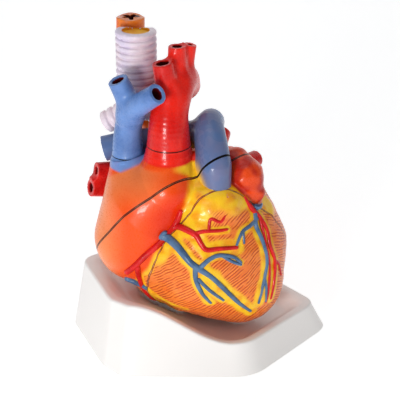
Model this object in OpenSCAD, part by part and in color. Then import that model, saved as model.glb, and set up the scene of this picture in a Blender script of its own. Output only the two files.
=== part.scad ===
// Heart anatomy model at twice life size, on a sloping white stand.
// Millimetres. The stand rests on z = 0, +X is to the right of the front view, -Y faces the front.
// The heart's form is a smooth blend of tapered round limbs, met by rays from a point inside it.
// Two flat seams cut it into a lower half, an upper half and a front wall.

/* [Heart] */
// Wall of the two atria
atrium_wall = 6; // [5:0.5:8]
// Outer wall of the right ventricle
right_wall = 9; // [8:0.5:11]
// Wall between the two ventricles
septum_wall = 11; // [9:0.5:13]
// Gap between two pieces where they meet at a seam
seam_gap = 0.3; // [0.2:0.05:0.4]

/* [Seats] */
// Diameter of the steel pins across the seams
pin_d = 6; // [5:0.5:6.5]
// How far a pin stands in each of the two pieces
pin_reach = 8; // [6:0.5:9]
// Clearance of a running fit, on the radius
fit = 0.05; // [0.03:0.01:0.08]
// Diameter of the round magnets in the front seam
magnet_d = 8; // [6:0.5:9]
// Thickness of a magnet
magnet_t = 3; // [2:0.5:4]

/* [Vessels] */
// Wall of the great vessels
vessel_wall = 3.5; // [3:0.25:4.5]
// Depth of the spigots that seat the vessels
spigot_h = 8; // [6:0.5:9]
// Cartilage rings on the windpipe
ring_count = 13; // [11:1:15]

/* [Stand] */
// Wall of the stand's moulded shell
stand_wall = 4; // [3:0.5:5]
// Thickness of the plate that closes the stand
plate_t = 3; // [2.5:0.5:4]
// Diameter of the steel rod that carries the heart
rod_d = 10; // [8:0.5:12]
// Wall of the sleeve that the rod runs in
sleeve_wall = 2.5; // [2:0.25:3]

/* [Hidden] */
round_fn = 48;

// Limbs of the form: start, end, start radius, end radius
right_atrium = [[[-59, -4, 108], [-50, -5, 147], 43, 42], [[-46, -16, 146], [-30, -26, 168], 36, 24]];
ventricles = [[[-38, -14, 80], [0, -16, 86], 29, 45], [[0, -16, 86], [38, -8, 60], 45, 33],
  [[32, 6, 100], [29, 4, 122], 47, 43], [[2, -22, 120], [11, -27, 152], 38, 26],
  [[32, 2, 90], [40, -8, 62], 44, 32]];
left_atrium = [[[-12, 34, 150], [26, 34, 150], 36, 34]];
roots = [[[-27, -10, 160], [-29, -12, 199], 24, 22], [[-66, 2, 165], [-68, 3, 186], 17, 17],
  [[-6, -12, 170], [-2, -10, 188], 16, 12]];
left_auricle = [[[34, 2, 184], [43, -12, 176], 14, 15], [[43, -12, 176], [52, -16, 160], 15, 9]];
left_chamber = [[[36, 0, 130], [47, -20, 66], 23, 14]];
aortic_way = [[[34, 4, 130], [0, 6, 158], 10, 10], [[0, 6, 158], [-29, -12, 188], 10, 12]];

// Seams: tip from +Z, turn about Z, distance from the origin
upper_seam = [50, 128, 101.5];
front_seam = [102, -70, 8];

// Great vessels: points and radii along each branch
caval_x = -68;
caval_y = 3;
caval_seam = 191;
caval_r = 15;
caval_floor = 184;
caval_trunk = [[[caval_x, caval_y, 186], 16.5], [[caval_x, caval_y, caval_seam], caval_r],
  [[caval_x, caval_y, 204], 14], [[-67, 1, 220], 12.8], [[-64, -4, 236], 12.5], [[-61, -8, 247], 11]];
caval_left = [[[-64, -4, 234], 11], [[-67, -7, 250], 10.5], [[-75, -10, 270], 9.5]];
caval_right = [[[-64, -4, 234], 11], [[-56, -20, 249], 10.5], [[-38, -35, 266], 9.5]];
aorta_x = -29;
aorta_y = -12;
aorta_seam = 207;
aorta_r = 20.5;
aorta_floor = aorta_seam - spigot_h;
aorta_trunk = [[[aorta_x, aorta_y, 200], 22], [[aorta_x, aorta_y, aorta_seam], aorta_r],
  [[aorta_x, aorta_y, 222], 19], [[-28, -9, 238], 17.5], [[-25, -2, 252], 17.5], [[-21, 12, 260], 17.5],
  [[-17, 28, 257], 16.5], [[-15, 41, 246], 15.5]];
aorta_first = [[[-27, -6, 250], 12], [[-31, -8, 268], 10.5], [[-34, -9, 286], 9.5]];
aorta_second = [[[-21, 4, 262], 10], [[-21, 6, 280], 9], [[-21, 6, 297], 8]];
aorta_third = [[[-16, 17, 262], 9], [[-12, 17, 280], 7], [[-9, 17, 295], 6]];
trunk_line = [[[16, -30, 166], 13], [[15, -28, 182], 14], [[14, -25, 194], 15], [[10, -8, 212], 14.5],
  [[9, 6, 219], 13.5], [[11, 18, 219], 12.5]];
lung_artery = [[[9, 2, 210], 11], [[0, 14, 205], 11.5], [[-30, 27, 198], 11.5], [[-66, 34, 191], 11.5],
  [[-93, 34, 184], 12.5]];
windpipe_x = -60;
windpipe_y = 38;
windpipe_r = 19.5;
windpipe_top = 303;
windpipe_low = 228;
gullet_r = 13.5;
gullet_line = [[[-66, 64, 307], gullet_r], [[-66, 64, 258], gullet_r], [[-58, 71, 214], gullet_r],
  [[-36, 81, 176], gullet_r], [[-27, 82, 138], gullet_r]];
gullet_pegs = [[-28, 150], [-32, 165]];
bronchus_peg = [-24, 50];
bronchus_seat = 178;

// Places of the seats
upper_pin_places = [[-18, -16, 159], [46, 48, 146], [-79, 13, 87]];
front_pin_places = [[-38, -40, 80], [64, -12, 108]];
front_magnet_places = [[14, -14, 48], [-4, -41, 136]];
rod_place = [2, 6];
rod_top = 72;
seat_z = 34;
flange_d = 22;

// Stand: outline at the table, inset of the top rim, and heights of the two levels
stand_corners = [[-131, 25], [-94, -64], [-74, -85], [50, -86], [130, 11], [72, 88], [-62, 90]];
rim_corners = [[-119, 33], [-86, -52], [-66, -66], [44, -74], [116, 9], [64, 74], [-56, 76]];
high_rim = 65.5;
low_rim = 28.4;
slope_from = -64;
slope_to = 30;

// Distance from p to a tapered limb
function limb_d(p, l) = let (ab = l[1] - l[0], t = max(0, min(1, ((p - l[0]) * ab) / (ab * ab))))
  norm(p - l[0] - t * ab) - l[2] - (l[3] - l[2]) * t;

// The smaller of two distances, rounded over a length k where they cross
function smooth_min(a, b, k) = let (h = max(k - abs(a - b), 0) / k) min(a, b) - h * h * k / 4;

// Distance to a smooth union of limbs
function blend_d(p, limbs, k, i = 0, d = 1e9) =
  i == len(limbs) ? d : blend_d(p, limbs, k, i + 1, smooth_min(d, limb_d(p, limbs[i]), k));

function ventricles_d(p) = blend_d(p, ventricles, 30);
function root_d(p) = min(limb_d(p, roots[0]), limb_d(p, roots[2]), blend_d(p, aortic_way, 1));
function heart_d(p) = let (
    lower = smooth_min(blend_d(p, right_atrium, 14), ventricles_d(p), 8),
    rear = smooth_min(lower, blend_d(p, left_atrium, 14), 14),
    root = smooth_min(rear, blend_d(p, roots, 1), 14))
  smooth_min(root, blend_d(p, left_auricle, 8), 5);

// Normal of a seam, and a point dropped onto it
function seam_normal(s) = [sin(s[0]) * cos(s[1]), sin(s[0]) * sin(s[1]), cos(s[0])];
function on_seam(p, s) = p + seam_normal(s) * (s[2] - p * seam_normal(s));

// Solid bosses that the chambers leave round the pins, the magnets and the rod
boss_wall = 3.5;
peg_d = 9;
function boss(p, s, r, depth) = let (q = on_seam(p, s), n = seam_normal(s))
  [q - n * depth, q + n * depth, r, r];
bosses = concat(
  [for (p = upper_pin_places) boss(p, upper_seam, pin_d / 2 + boss_wall, pin_reach)],
  [for (p = front_pin_places) boss(p, front_seam, pin_d / 2 + boss_wall, pin_reach)],
  [for (p = front_magnet_places) boss(p, front_seam, magnet_d / 2 + boss_wall, magnet_t)],
  [for (g = gullet_pegs) [[g[0], 40, g[1]], [g[0], 80, g[1]], pin_d / 2 + boss_wall, pin_d / 2 + boss_wall]],
  [[[bronchus_peg[0], bronchus_peg[1], bronchus_seat - pin_reach], [bronchus_peg[0], bronchus_peg[1], 200],
    peg_d / 2 + boss_wall, peg_d / 2 + boss_wall]],
  [[[rod_place[0], rod_place[1], 20], [rod_place[0], rod_place[1], rod_top],
    rod_d / 2 + sleeve_wall + boss_wall, rod_d / 2 + sleeve_wall + boss_wall]]);
function bosses_d(p) = min([for (b = bosses) limb_d(p, b)]);

// Distance to each chamber: 1 right atrium, 2 left atrium, 3 right ventricle, 4 left ventricle
muscle = 5;
valve_drop = -12;
function chamber_d(p, c) =
  c == 1 ? max(blend_d(p, right_atrium, 14) + atrium_wall, muscle - ventricles_d(p), muscle - root_d(p),
    p[2] - caval_floor + atrium_wall) :
  c == 2 ? max(blend_d(p, left_atrium, 14) + atrium_wall, valve_drop - ventricles_d(p), muscle - root_d(p),
    muscle - blend_d(p, right_atrium, 14)) :
  c == 3 ? max(ventricles_d(p) + right_wall, septum_wall - blend_d(p, left_chamber, 1), muscle - root_d(p)) :
  blend_d(p, left_chamber, 1);
function form_d(p, c) = c == 0 ? heart_d(p) : max(chamber_d(p, c), -bosses_d(p));

// How far a ray from the centre runs before it leaves the form
function reach(c, centre, way, t = 2, n = 14) =
  n == 0 ? t : reach(c, centre, way, t - form_d(centre + way * t, c), n - 1);

// Closed skin of one form, seen from a point inside it
module skin(c, centre, rows, cols) {
  ways = [for (i = [1 : rows - 1]) for (j = [0 : cols - 1]) let (a = 180 * i / rows, b = 360 * j / cols)
    [sin(a) * cos(b), sin(a) * sin(b), cos(a)]];
  points = concat([for (w = ways) centre + w * reach(c, centre, w)],
    [centre + [0, 0, reach(c, centre, [0, 0, 1])], centre - [0, 0, reach(c, centre, [0, 0, -1])]]);
  top = len(points) - 2;
  function at(i, j) = (i - 1) * cols + j % cols;
  polyhedron(points, concat(
    [for (j = [0 : cols - 1]) [top, at(1, j + 1), at(1, j)]],
    [for (j = [0 : cols - 1]) [top + 1, at(rows - 1, j), at(rows - 1, j + 1)]],
    [for (i = [1 : rows - 2]) for (j = [0 : cols - 1]) each
      [[at(i, j), at(i + 1, j + 1), at(i + 1, j)], [at(i, j), at(i, j + 1), at(i + 1, j + 1)]]]));
}

// Everything past a seam, or short of it, by a gap
module beyond(s, gap) rotate([0, s[0], s[1]]) translate([-250, -250, s[2] + gap]) cube([500, 500, 400]);
module short_of(s, gap) rotate([0, s[0], s[1]])
  translate([-250, -250, s[2] - gap - 400]) cube([500, 500, 400]);

// Children stand on a seam at a point, with +Z along its normal
module at_seam(p, s) translate(on_seam(p, s)) rotate([0, s[0], s[1]]) children();

// Children run from one point toward another along +Z
module along(a, b) translate(a)
  rotate([0, acos((b - a)[2] / norm(b - a)), atan2((b - a)[1], (b - a)[0])]) children();

// A round bar between two points
module bar(a, b, d) along(a, b) cylinder(d = d, h = norm(b - a), $fn = 24);

// A vessel: points with radii, eased into a curve and skinned with rings of sides
function curve(a, b, c, d, t) = 0.5 * (2 * b + (c - a) * t + (2 * a - 5 * b + 4 * c - d) * t * t
  + (3 * b - a - 3 * c + d) * t * t * t);
function eased(l, steps) = let (m = len(l) - 1) concat(
  [for (i = [0 : m - 1]) for (k = [0 : steps - 1])
    let (a = l[max(i - 1, 0)], b = l[i], c = l[i + 1], d = l[min(i + 2, m)], t = k / steps)
    [curve(a[0], b[0], c[0], d[0], t), curve(a[1], b[1], c[1], d[1], t)]],
  [l[m]]);
module vessel(line, side = [1, 0, 0], grow = 0, sides = 14, steps = 2) {
  l = eased(line, steps);
  m = len(l) - 1;
  points = [for (i = [0 : m]) let (
      way = l[min(i + 1, m)][0] - l[max(i - 1, 0)][0],
      w = way / norm(way),
      flat = side - w * (side * w),
      u = flat / norm(flat),
      v = cross(w, u))
    for (j = [0 : sides - 1]) let (a = 360 * j / sides)
      l[i][0] + (l[i][1] + grow) * (u * cos(a) + v * sin(a))];
  polyhedron(points, concat(
    [[for (j = [0 : sides - 1]) j]],
    [[for (j = [0 : sides - 1]) m * sides + sides - 1 - j]],
    [for (i = [0 : m - 1]) for (j = [0 : sides - 1])
      let (k = (j + 1) % sides, a = i * sides, b = a + sides) each
      [[a + j, b + j, b + k], [a + j, b + k, a + k]]]));
}

// A line drawn out past both ends, for a lumen that opens there
function opened(l, by) = let (m = len(l) - 1, a = l[0][0] - l[1][0], b = l[m][0] - l[m - 1][0]) concat(
  [[l[0][0] + a * by / norm(a), l[0][1]]], l, [[l[m][0] + b * by / norm(b), l[m][1]]]);

// Heart --------------------------------------------------------------------

heart_centre = [0, 0, 112];
mitral_place = [18, 26, 140];
tricuspid_place = [-42, -12, 114];
tricuspid_way = [-14, -28, 98];
mitral_r = 12;
tricuspid_r = 13;
ring_w = 2.5;
ring_h = 3;
mitral_depth = 10;
conus_r = 10;
conus_from = [-4, -28, 118];
conus_to = [15, -28, 176];

module papillary(l) hull() {
  translate(l[0]) sphere(l[2], $fn = 10);
  translate(l[1]) sphere(l[3], $fn = 10);
}
right_papillaries = [[[-34, -16, 58], [-32, -20, 82], 8, 3.5], [[0, -8, 54], [-8, -14, 80], 8, 3.5]];
left_papillaries = [[[36, 0, 56], [34, 0, 82], 7, 3.5], [[56, -4, 60], [52, 0, 86], 7, 3.5]];

module heart_skin() skin(0, heart_centre, 24, 38);
module chambers() {
  skin(1, [-58, 2, 138], 10, 14);
  skin(2, [4, 46, 158], 9, 14);
  skin(3, [-14, -30, 98], 12, 18);
  skin(4, [41, -10, 98], 8, 12);
}

module ways() {
  along(conus_from, conus_to) cylinder(r = conus_r, h = norm(conus_to - conus_from), $fn = 14);
  for (l = aortic_way) hull() {
    translate(l[0]) sphere(l[2], $fn = 12);
    translate(l[1]) sphere(l[3], $fn = 12);
  }
}

module heart_mass() {
  difference() {
    heart_skin();
    chambers();
    ways();
  }
  intersection() {
    heart_skin();
    for (l = concat(right_papillaries, left_papillaries)) papillary(l);
  }
}

// Bores that both halves of the heart share
module heart_bores() {
  translate([aorta_x, aorta_y, aorta_floor]) cylinder(r = aorta_bore_collar, h = 40, $fn = round_fn);
  translate([aorta_x, aorta_y, valve_z]) cylinder(r = aorta_r - vessel_wall, h = 40, $fn = round_fn);
  translate([caval_x, caval_y, caval_floor]) cylinder(r = caval_collar_r + snug, h = 40, $fn = round_fn);
  translate([caval_x, caval_y, 150]) cylinder(r = caval_r - vessel_wall, h = 60, $fn = round_fn);
}
snug = 0.15;
caval_collar_r = 17;
aorta_collar_r = 22;
aorta_bore_collar = aorta_collar_r + snug;
valve_h = 7;
valve_z = aorta_floor - valve_h - 5;

module mitral_way() at_seam(mitral_place, upper_seam) {
  translate([0, 0, -42]) cylinder(r = mitral_r + 0.5, h = 60, $fn = round_fn);
  translate([0, 0, -mitral_depth]) cylinder(r = mitral_r + ring_w, h = 26, $fn = round_fn);
}
module tricuspid_bore() {
  along(tricuspid_place, tricuspid_way) {
    translate([0, 0, -20]) cylinder(r = tricuspid_r + 0.5, h = 46, $fn = round_fn);
    translate([0, 0, -22]) cylinder(r = tricuspid_r + ring_w, h = 22, $fn = round_fn);
  }
}

module seam_bores(places, s, r, reach) for (p = places) at_seam(p, s)
  translate([0, 0, -reach]) cylinder(r = r, h = 2 * reach, $fn = round_fn);

muscle_red = [0.86, 0.38, 0.16];
artery_red = [0.80, 0.12, 0.10];
vein_blue = [0.33, 0.47, 0.62];
steel = [0.72, 0.73, 0.75];
rod_hole = rod_d / 2 + fit;

module lower_heart() color(muscle_red) difference() {
  resize([0, 0, 0]) difference() {
    intersection() {
      heart_mass();
      short_of(upper_seam, seam_gap / 2);
      short_of(front_seam, seam_gap / 2);
    }
    vessel(trunk_line, grow = snug);
  }
  seam_bores(upper_pin_places, upper_seam, pin_d / 2, pin_reach);
  seam_bores(front_pin_places, front_seam, pin_d / 2, pin_reach);
  seam_bores(front_magnet_places, front_seam, magnet_d / 2, seam_gap / 2 + magnet_t);
  mitral_way();
  tricuspid_bore();
  translate([rod_place[0], rod_place[1], 0]) {
    cylinder(r = rod_hole + sleeve_wall, h = rod_top + 1, $fn = round_fn);
    cylinder(d = flange_d + 2, h = seat_z + 0.2, $fn = round_fn);
  }
}

module front_wall() color(muscle_red) difference() {
  resize([0, 0, 0]) difference() {
    intersection() {
      heart_mass();
      beyond(front_seam, seam_gap / 2);
      short_of(upper_seam, seam_gap / 2);
    }
    vessel(trunk_line, grow = seam_gap);
  }
  seam_bores(front_pin_places, front_seam, pin_d / 2 + fit, pin_reach + 0.5);
  seam_bores(front_magnet_places, front_seam, magnet_d / 2, seam_gap / 2 + magnet_t);
}

module upper_heart() color([0.90, 0.42, 0.18]) difference() {
  resize([0, 0, 0]) difference() {
    intersection() {
      heart_mass();
      beyond(upper_seam, seam_gap / 2);
    }
    vessel(trunk_line, grow = snug);
    vessel(lung_artery, side = [0, 0, 1], grow = snug);
  }
  seam_bores(upper_pin_places, upper_seam, pin_d / 2 + fit, pin_reach + 0.5);
  heart_bores();
  mitral_way();
  translate([bronchus_peg[0], bronchus_peg[1], bronchus_seat])
    cylinder(d = peg_d + 6, h = 30, $fn = round_fn);
  translate([bronchus_peg[0], bronchus_peg[1], bronchus_seat - pin_reach - 0.5])
    cylinder(r = peg_d / 2 + fit, h = 30, $fn = round_fn);
  for (g = gullet_pegs) translate([g[0], gullet_peg_end - 0.5, g[1]]) rotate([-90, 0, 0])
    cylinder(r = pin_d / 2 + fit, h = 30, $fn = round_fn);
}
gullet_peg_end = 56;

module rod_sleeve() color(steel) translate([rod_place[0], rod_place[1], seat_z + 0.2]) difference() {
  cylinder(r = rod_hole + sleeve_wall, h = rod_top + 1 - seat_z - 0.2, $fn = round_fn);
  translate([0, 0, -1]) cylinder(r = rod_hole, h = rod_top + 3 - seat_z, $fn = round_fn);
}

module upper_half_pins() color(steel) for (p = upper_pin_places) at_seam(p, upper_seam)
  translate([0, 0, -pin_reach]) cylinder(d = pin_d, h = 2 * pin_reach, $fn = round_fn);
module front_wall_pins() color(steel) for (p = front_pin_places) at_seam(p, front_seam)
  translate([0, 0, -pin_reach]) cylinder(d = pin_d, h = 2 * pin_reach, $fn = round_fn);
module front_wall_magnets_rear() color(steel) for (p = front_magnet_places) at_seam(p, front_seam)
  translate([0, 0, -seam_gap / 2 - magnet_t]) cylinder(d = magnet_d, h = magnet_t, $fn = round_fn);
module front_wall_magnets_front() color(steel) for (p = front_magnet_places) at_seam(p, front_seam)
  translate([0, 0, seam_gap / 2]) cylinder(d = magnet_d, h = magnet_t, $fn = round_fn);

// Inlet valve: a ring with a skirt that hangs from it, notched into leaflets
skirt_in = 0.55;
skirt_t = 1.6;
module inlet_valve(r, leaves, drop) difference() {
  rotate_extrude($fn = round_fn) polygon([[r + ring_w, 0], [r + ring_w, ring_h], [r - 1, ring_h],
    [r * skirt_in, -drop], [r * skirt_in + skirt_t, -drop], [r + 0.2, 0]]);
  for (k = [0 : leaves - 1]) rotate(360 * k / leaves) translate([0, 0, -drop - 1]) rotate([90, 0, 90])
    linear_extrude(2 * r) polygon([[-r * 0.28, 0], [r * 0.28, 0], [0, drop * 0.65]]);
}

// A point in a turned frame, brought back to the row's frame
function turned(p, tip, turn) = let (
    q = [p[0] * cos(tip) + p[2] * sin(tip), p[1], p[2] * cos(tip) - p[0] * sin(tip)])
  [q[0] * cos(turn) - q[1] * sin(turn), q[0] * sin(turn) + q[1] * cos(turn), q[2]];

// Tendinous cords from the tip of each papillary muscle to each leaflet's edge
cord_d = 1.4;
module cords(edges, papillaries) for (l = papillaries) for (e = edges) let (way = (e - l[1]) / norm(e - l[1]))
  bar(l[1] + way * (l[3] + 0.3), e, cord_d);

module mitral_valve() color([0.93, 0.82, 0.70]) {
  drop = 14;
  foot = on_seam(mitral_place, upper_seam);
  at_seam(mitral_place, upper_seam) translate([0, 0, -mitral_depth]) inlet_valve(mitral_r, 2, drop);
  edge_r = mitral_r * skirt_in + skirt_t / 2;
  cords([for (a = [90, 270]) foot + turned([edge_r * cos(a), edge_r * sin(a), 0.5 - mitral_depth - drop],
    upper_seam[0], upper_seam[1])], left_papillaries);
}
module tricuspid_valve() color([0.93, 0.82, 0.70]) {
  drop = 14;
  v = tricuspid_way - tricuspid_place;
  tip = acos(v[2] / norm(v));
  turn = atan2(v[1], v[0]);
  along(tricuspid_place, tricuspid_way) mirror([0, 0, 1]) inlet_valve(tricuspid_r, 3, drop);
  edge_r = tricuspid_r * skirt_in + skirt_t / 2;
  cords([for (a = [60, 300]) tricuspid_place
    + turned([edge_r * cos(a), edge_r * sin(a), drop - 0.5], tip, turn)], right_papillaries);
}

// Outlet valve: a disc with three scooped pockets that meet in the middle
module aortic_valve() color([0.93, 0.82, 0.70]) translate([aorta_x, aorta_y, valve_z]) {
  r = aorta_r - vessel_wall;
  difference() {
    cylinder(r = r, h = valve_h, $fn = round_fn);
    for (k = [0 : 2]) rotate(120 * k) translate([r * 0.52, 0, valve_h + 1.2])
      scale(r / 17) sphere(7.4, $fn = 32);
  }
}

// Great vessels --------------------------------------------------------------

module above(z) translate([-200, -200, z]) cube([400, 400, 300]);

module pulmonary_trunk_root() color(vein_blue) resize([0, 0, 0]) difference() {
  intersection() {
    vessel(trunk_line);
    short_of(upper_seam, seam_gap / 2);
  }
  vessel(opened(trunk_line, 4), grow = -vessel_wall, sides = 10);
}

module pulmonary_trunk() color(vein_blue) resize([0, 0, 0]) difference() {
  intersection() {
    union() {
      vessel(trunk_line);
      vessel(lung_artery, side = [0, 0, 1]);
    }
    beyond(upper_seam, seam_gap / 2);
  }
  vessel(opened(trunk_line, 4), grow = -vessel_wall, sides = 10);
  vessel(opened(lung_artery, 4), side = [0, 0, 1], grow = -vessel_wall, sides = 10);
}

right_veins = [[[[-46, 36, 158], 9], [[-80, 36, 160], 9], [[-101, 29, 163], 8]],
  [[[-44, 38, 141], 10], [[-84, 38, 141], 9.5], [[-107, 29, 145], 9]]];
left_veins = [[[[12, 34, 164], 10], [[17, 46, 180], 9], [[22, 62, 190], 8.5]],
  [[[30, 42, 154], 10], [[46, 58, 158], 9], [[56, 70, 158], 8.5]]];
module lung_veins(lines) color(artery_red) resize([0, 0, 0]) difference() {
  for (l = lines) difference() {
    vessel(l, side = [0, 0, 1], sides = 12);
    vessel([for (q = opened(l, 2)) [q[0], q[1] * 0.6]], side = [0, 0, 1], sides = 10);
  }
  heart_skin();
}
module right_pulmonary_veins() lung_veins(right_veins);
module left_pulmonary_veins() lung_veins(left_veins);

// A collar that a vessel plugs into, seated on the flat floor of its pocket
module collar(x, y, floor_z, top_z, low_r, top_r, bore_r) translate([x, y, 0]) rotate_extrude($fn = round_fn)
  polygon([[bore_r, floor_z], [low_r, floor_z], [low_r, floor_z + 2], [top_r, top_z], [bore_r, top_z]]);
module aortic_collar() color(artery_red) collar(aorta_x, aorta_y, aorta_floor, aorta_seam - seam_gap / 2,
  aorta_collar_r, aorta_r, aorta_r - vessel_wall);
module caval_collar() color(vein_blue) collar(caval_x, caval_y, caval_floor, caval_seam - seam_gap / 2,
  caval_collar_r, caval_r, caval_r - vessel_wall);

// A branched vessel that lifts off its collar: a hollow form over a spigot
module plugged(lines, x, y, seam_z, r) {
  difference() {
    union() {
      resize([0, 0, 0]) difference() {
        intersection() {
          union() { for (l = lines) vessel(l); }
          above(seam_z + seam_gap / 2);
        }
        intersection() {
          union() { for (l = lines) vessel(opened(l, 3), grow = -vessel_wall, sides = 10); }
          above(seam_z + 3);
        }
      }
      translate([x, y, seam_z - spigot_h])
        cylinder(r = r - vessel_wall - fit, h = spigot_h + 2, $fn = round_fn);
    }
    translate([x, y, seam_z - spigot_h - 1])
      cylinder(r = r - 2 * vessel_wall + 0.5, h = spigot_h + 5, $fn = round_fn);
  }
}
module superior_vena_cava() color(vein_blue)
  plugged([caval_trunk, caval_left, caval_right], caval_x, caval_y, caval_seam, caval_r);
module aorta() color(artery_red)
  plugged([aorta_trunk, aorta_first, aorta_second, aorta_third], aorta_x, aorta_y, aorta_seam, aorta_r);

// Windpipe -------------------------------------------------------------------

windpipe_lumen = 14;
ring_rise = 1.8;
flat_back = 11;
// A tube with cartilage rings, standing on the origin
module ringed(r, h, rings) {
  pitch = h / rings;
  rotate_extrude($fn = round_fn) polygon(concat([[0, 0]],
    [for (i = [0 : rings - 1]) each
      [[r - ring_rise, pitch * i], [r, pitch * (i + 0.3)], [r, pitch * (i + 0.7)]]],
    [[r - ring_rise, h], [0, h]]));
}
bronchi = [[[-20, 51, 206], 11.5, 6], [[-92, 41, 208], 11, 5]];
module trachea() color([0.80, 0.77, 0.84]) {
  fork = [windpipe_x, windpipe_y, windpipe_low];
  difference() {
    union() {
      intersection() {
        translate(fork) ringed(windpipe_r, windpipe_top - windpipe_low, ring_count);
        translate([windpipe_x - 50, windpipe_y - 50, 0]) cube([100, 50 + flat_back, 400]);
      }
      for (b = bronchi) along(fork, b[0]) ringed(b[1], norm(b[0] - fork), b[2]);
      translate(fork) sphere(12.4, $fn = round_fn);
      translate([bronchus_peg[0], bronchus_peg[1], bronchus_seat + seam_gap])
        cylinder(d = peg_d + 5, h = 26, $fn = round_fn);
      translate([bronchus_peg[0], bronchus_peg[1], bronchus_seat - pin_reach])
        cylinder(d = peg_d, h = 20, $fn = round_fn);
    }
    translate([windpipe_x, windpipe_y - 2, windpipe_low + 6])
      cylinder(r = windpipe_lumen - 1, h = 200, $fn = round_fn);
  }
}
module trachea_lining() color([0.95, 0.66, 0.20]) translate([windpipe_x, windpipe_y - 2, windpipe_top - 12])
  cylinder(r = windpipe_lumen - 1, h = 9, $fn = round_fn);

// Gullet ---------------------------------------------------------------------

gullet_lumen = 7;
module oesophagus() color([0.78, 0.36, 0.12]) difference() {
  union() {
    vessel(gullet_line, sides = 20, steps = 3);
    for (g = gullet_pegs) translate([g[0], gullet_peg_end, g[1]]) rotate([-90, 0, 0])
      cylinder(d = pin_d, h = 20, $fn = round_fn);
  }
  translate([gullet_line[0][0][0], gullet_line[0][0][1], 270])
    cylinder(r = gullet_lumen, h = 60, $fn = round_fn);
}
module oesophagus_lining() color([0.45, 0.10, 0.06])
  translate([gullet_line[0][0][0], gullet_line[0][0][1], gullet_line[0][0][2] - 14]) difference() {
    cylinder(r = gullet_lumen, h = 12, $fn = round_fn);
    for (k = [0 : 2]) rotate(60 * k) translate([-4.5, -0.9, 6]) cube([9, 1.8, 10]);
  }

// Coronary vessels -----------------------------------------------------------
// Routes on the front are [x, z, radius]: each point is dropped onto the form from the front.

function from_front(x, z, y = -110, n = 14) =
  n == 0 ? [x, y, z] : from_front(x, z, y + heart_d([x, y, z]), n - 1);
function front_route(r) = [for (q = r) [from_front(q[0], q[1]) + [0, 0.5, 0], q[2]]];
right_coronary = [[-18, 153, 2.4], [-22, 142, 3.2], [-28, 133, 3.3], [-39, 121, 3.2], [-53, 107, 3.2],
  [-69, 89, 3]];
right_marginal = [[-58, 98, 2.8], [-55, 80, 2.5], [-46, 64, 2.2], [-31, 54, 1.9]];
small_vein = [[-66, 82, 2.8], [-58, 70, 2.5], [-46, 60, 2.2], [-32, 52, 1.8]];
conus_arteries = [
  [[-24, 139, 3.2], [-17, 140, 3.2], [-5, 137, 3], [1, 129, 2.6], [6, 124, 2.5], [18, 124, 2.2],
    [34, 122, 1.9]],
  [[-6, 137, 2.2], [4, 140, 1.9], [17, 140, 1.7], [25, 140, 1.3]]];
left_descending = [[49, 149, 2.6], [56, 140, 2.4], [63, 127, 2.2], [66, 113, 2.1], [71, 97, 1.9],
  [71, 78, 1.7], [68, 58, 1.3]];
front_veins = [
  [[-33, 130, 4.2], [-22, 125, 3.9], [-8, 112, 3.3], [-1, 107, 3], [11, 98, 2.5], [21, 85, 2.3],
    [35, 65, 2.1], [48, 50, 1.6]],
  [[-1, 107, 2.5], [8, 115, 2.2], [18, 118, 2.1], [31, 114, 1.6]],
  [[-4, 109, 2.6], [-4, 97, 2.4], [1, 83, 2], [10, 68, 1.4]]];
interventricular_vein = [[52, 150, 2.4], [52, 136, 2.3], [59, 119, 2], [63, 101, 1.9], [61, 83, 1.8],
  [56, 58, 1.2]];

module relief(routes) resize([0, 0, 0]) difference() {
  for (r = routes) vessel(front_route(r), side = [0, 1, 0], sides = 8, steps = 2);
  heart_skin();
}
module lower_heart_arteries() color(artery_red) difference() {
  relief([right_coronary, right_marginal]);
  beyond(front_seam, -seam_gap / 2);
  beyond(upper_seam, -seam_gap / 2);
}
module lower_heart_veins() color(vein_blue) difference() {
  relief([small_vein]);
  beyond(front_seam, -seam_gap / 2);
}
module front_wall_arteries() color(artery_red) intersection() {
  relief(concat(conus_arteries, [left_descending]));
  beyond(front_seam, seam_gap / 2);
}
module front_wall_veins() color(vein_blue) difference() {
  intersection() {
    relief(concat(front_veins, [interventricular_vein]));
    beyond(front_seam, seam_gap / 2);
  }
  resize([0, 0, 0]) vessel(front_route(left_descending), side = [0, 1, 0], grow = 0.2, sides = 8);
}

// Stand ----------------------------------------------------------------------

function smooth_step(a, b, x) = let (t = max(0, min(1, (x - a) / (b - a)))) t * t * (3 - 2 * t);
function rim_z(x) = high_rim + (low_rim - high_rim) * smooth_step(slope_from, slope_to, x);

// An outline with its corners rounded as curves and its sides divided
corner_cut = 0.16;
corner_steps = 4;
side_steps = 3;
function outline(c) = let (m = len(c)) [for (i = [0 : m - 1]) let (
    a = c[(i + m - 1) % m], b = c[i], d = c[(i + 1) % m],
    p = b + (a - b) * corner_cut, q = b + (d - b) * corner_cut, e = d + (b - d) * corner_cut)
  each concat(
    [for (k = [0 : corner_steps - 1]) let (t = k / corner_steps)
      p * (1 - t) * (1 - t) + b * 2 * t * (1 - t) + q * t * t],
    [for (k = [0 : side_steps - 1]) q + (e - q) * k / side_steps])];
foot = outline(stand_corners);
rim = outline(rim_corners);
dish_middle = [2, 4];

// Height of the heart's underside over a point of the stand
function underside(x, y, z = 10, n = 12) =
  n == 0 ? (z > 120 ? 999 : z) : underside(x, y, z + max(heart_d([x, y, z]), 0), n - 1);
dish_gap = 4.5;
rim_band = 0.93;
dish_depth = 10.5;
dish_wall = 0.2;
function dish_z(q, f) = min(rim_z(q[0]) - dish_depth * smooth_step(0, dish_wall, rim_band - f),
  underside(q[0], q[1]) - dish_gap);
function shrunk(ring, f) = [for (q = ring) dish_middle + (q - dish_middle) * f];
function raised(ring, h) = [for (q = ring) [q[0], q[1], h]];

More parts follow.
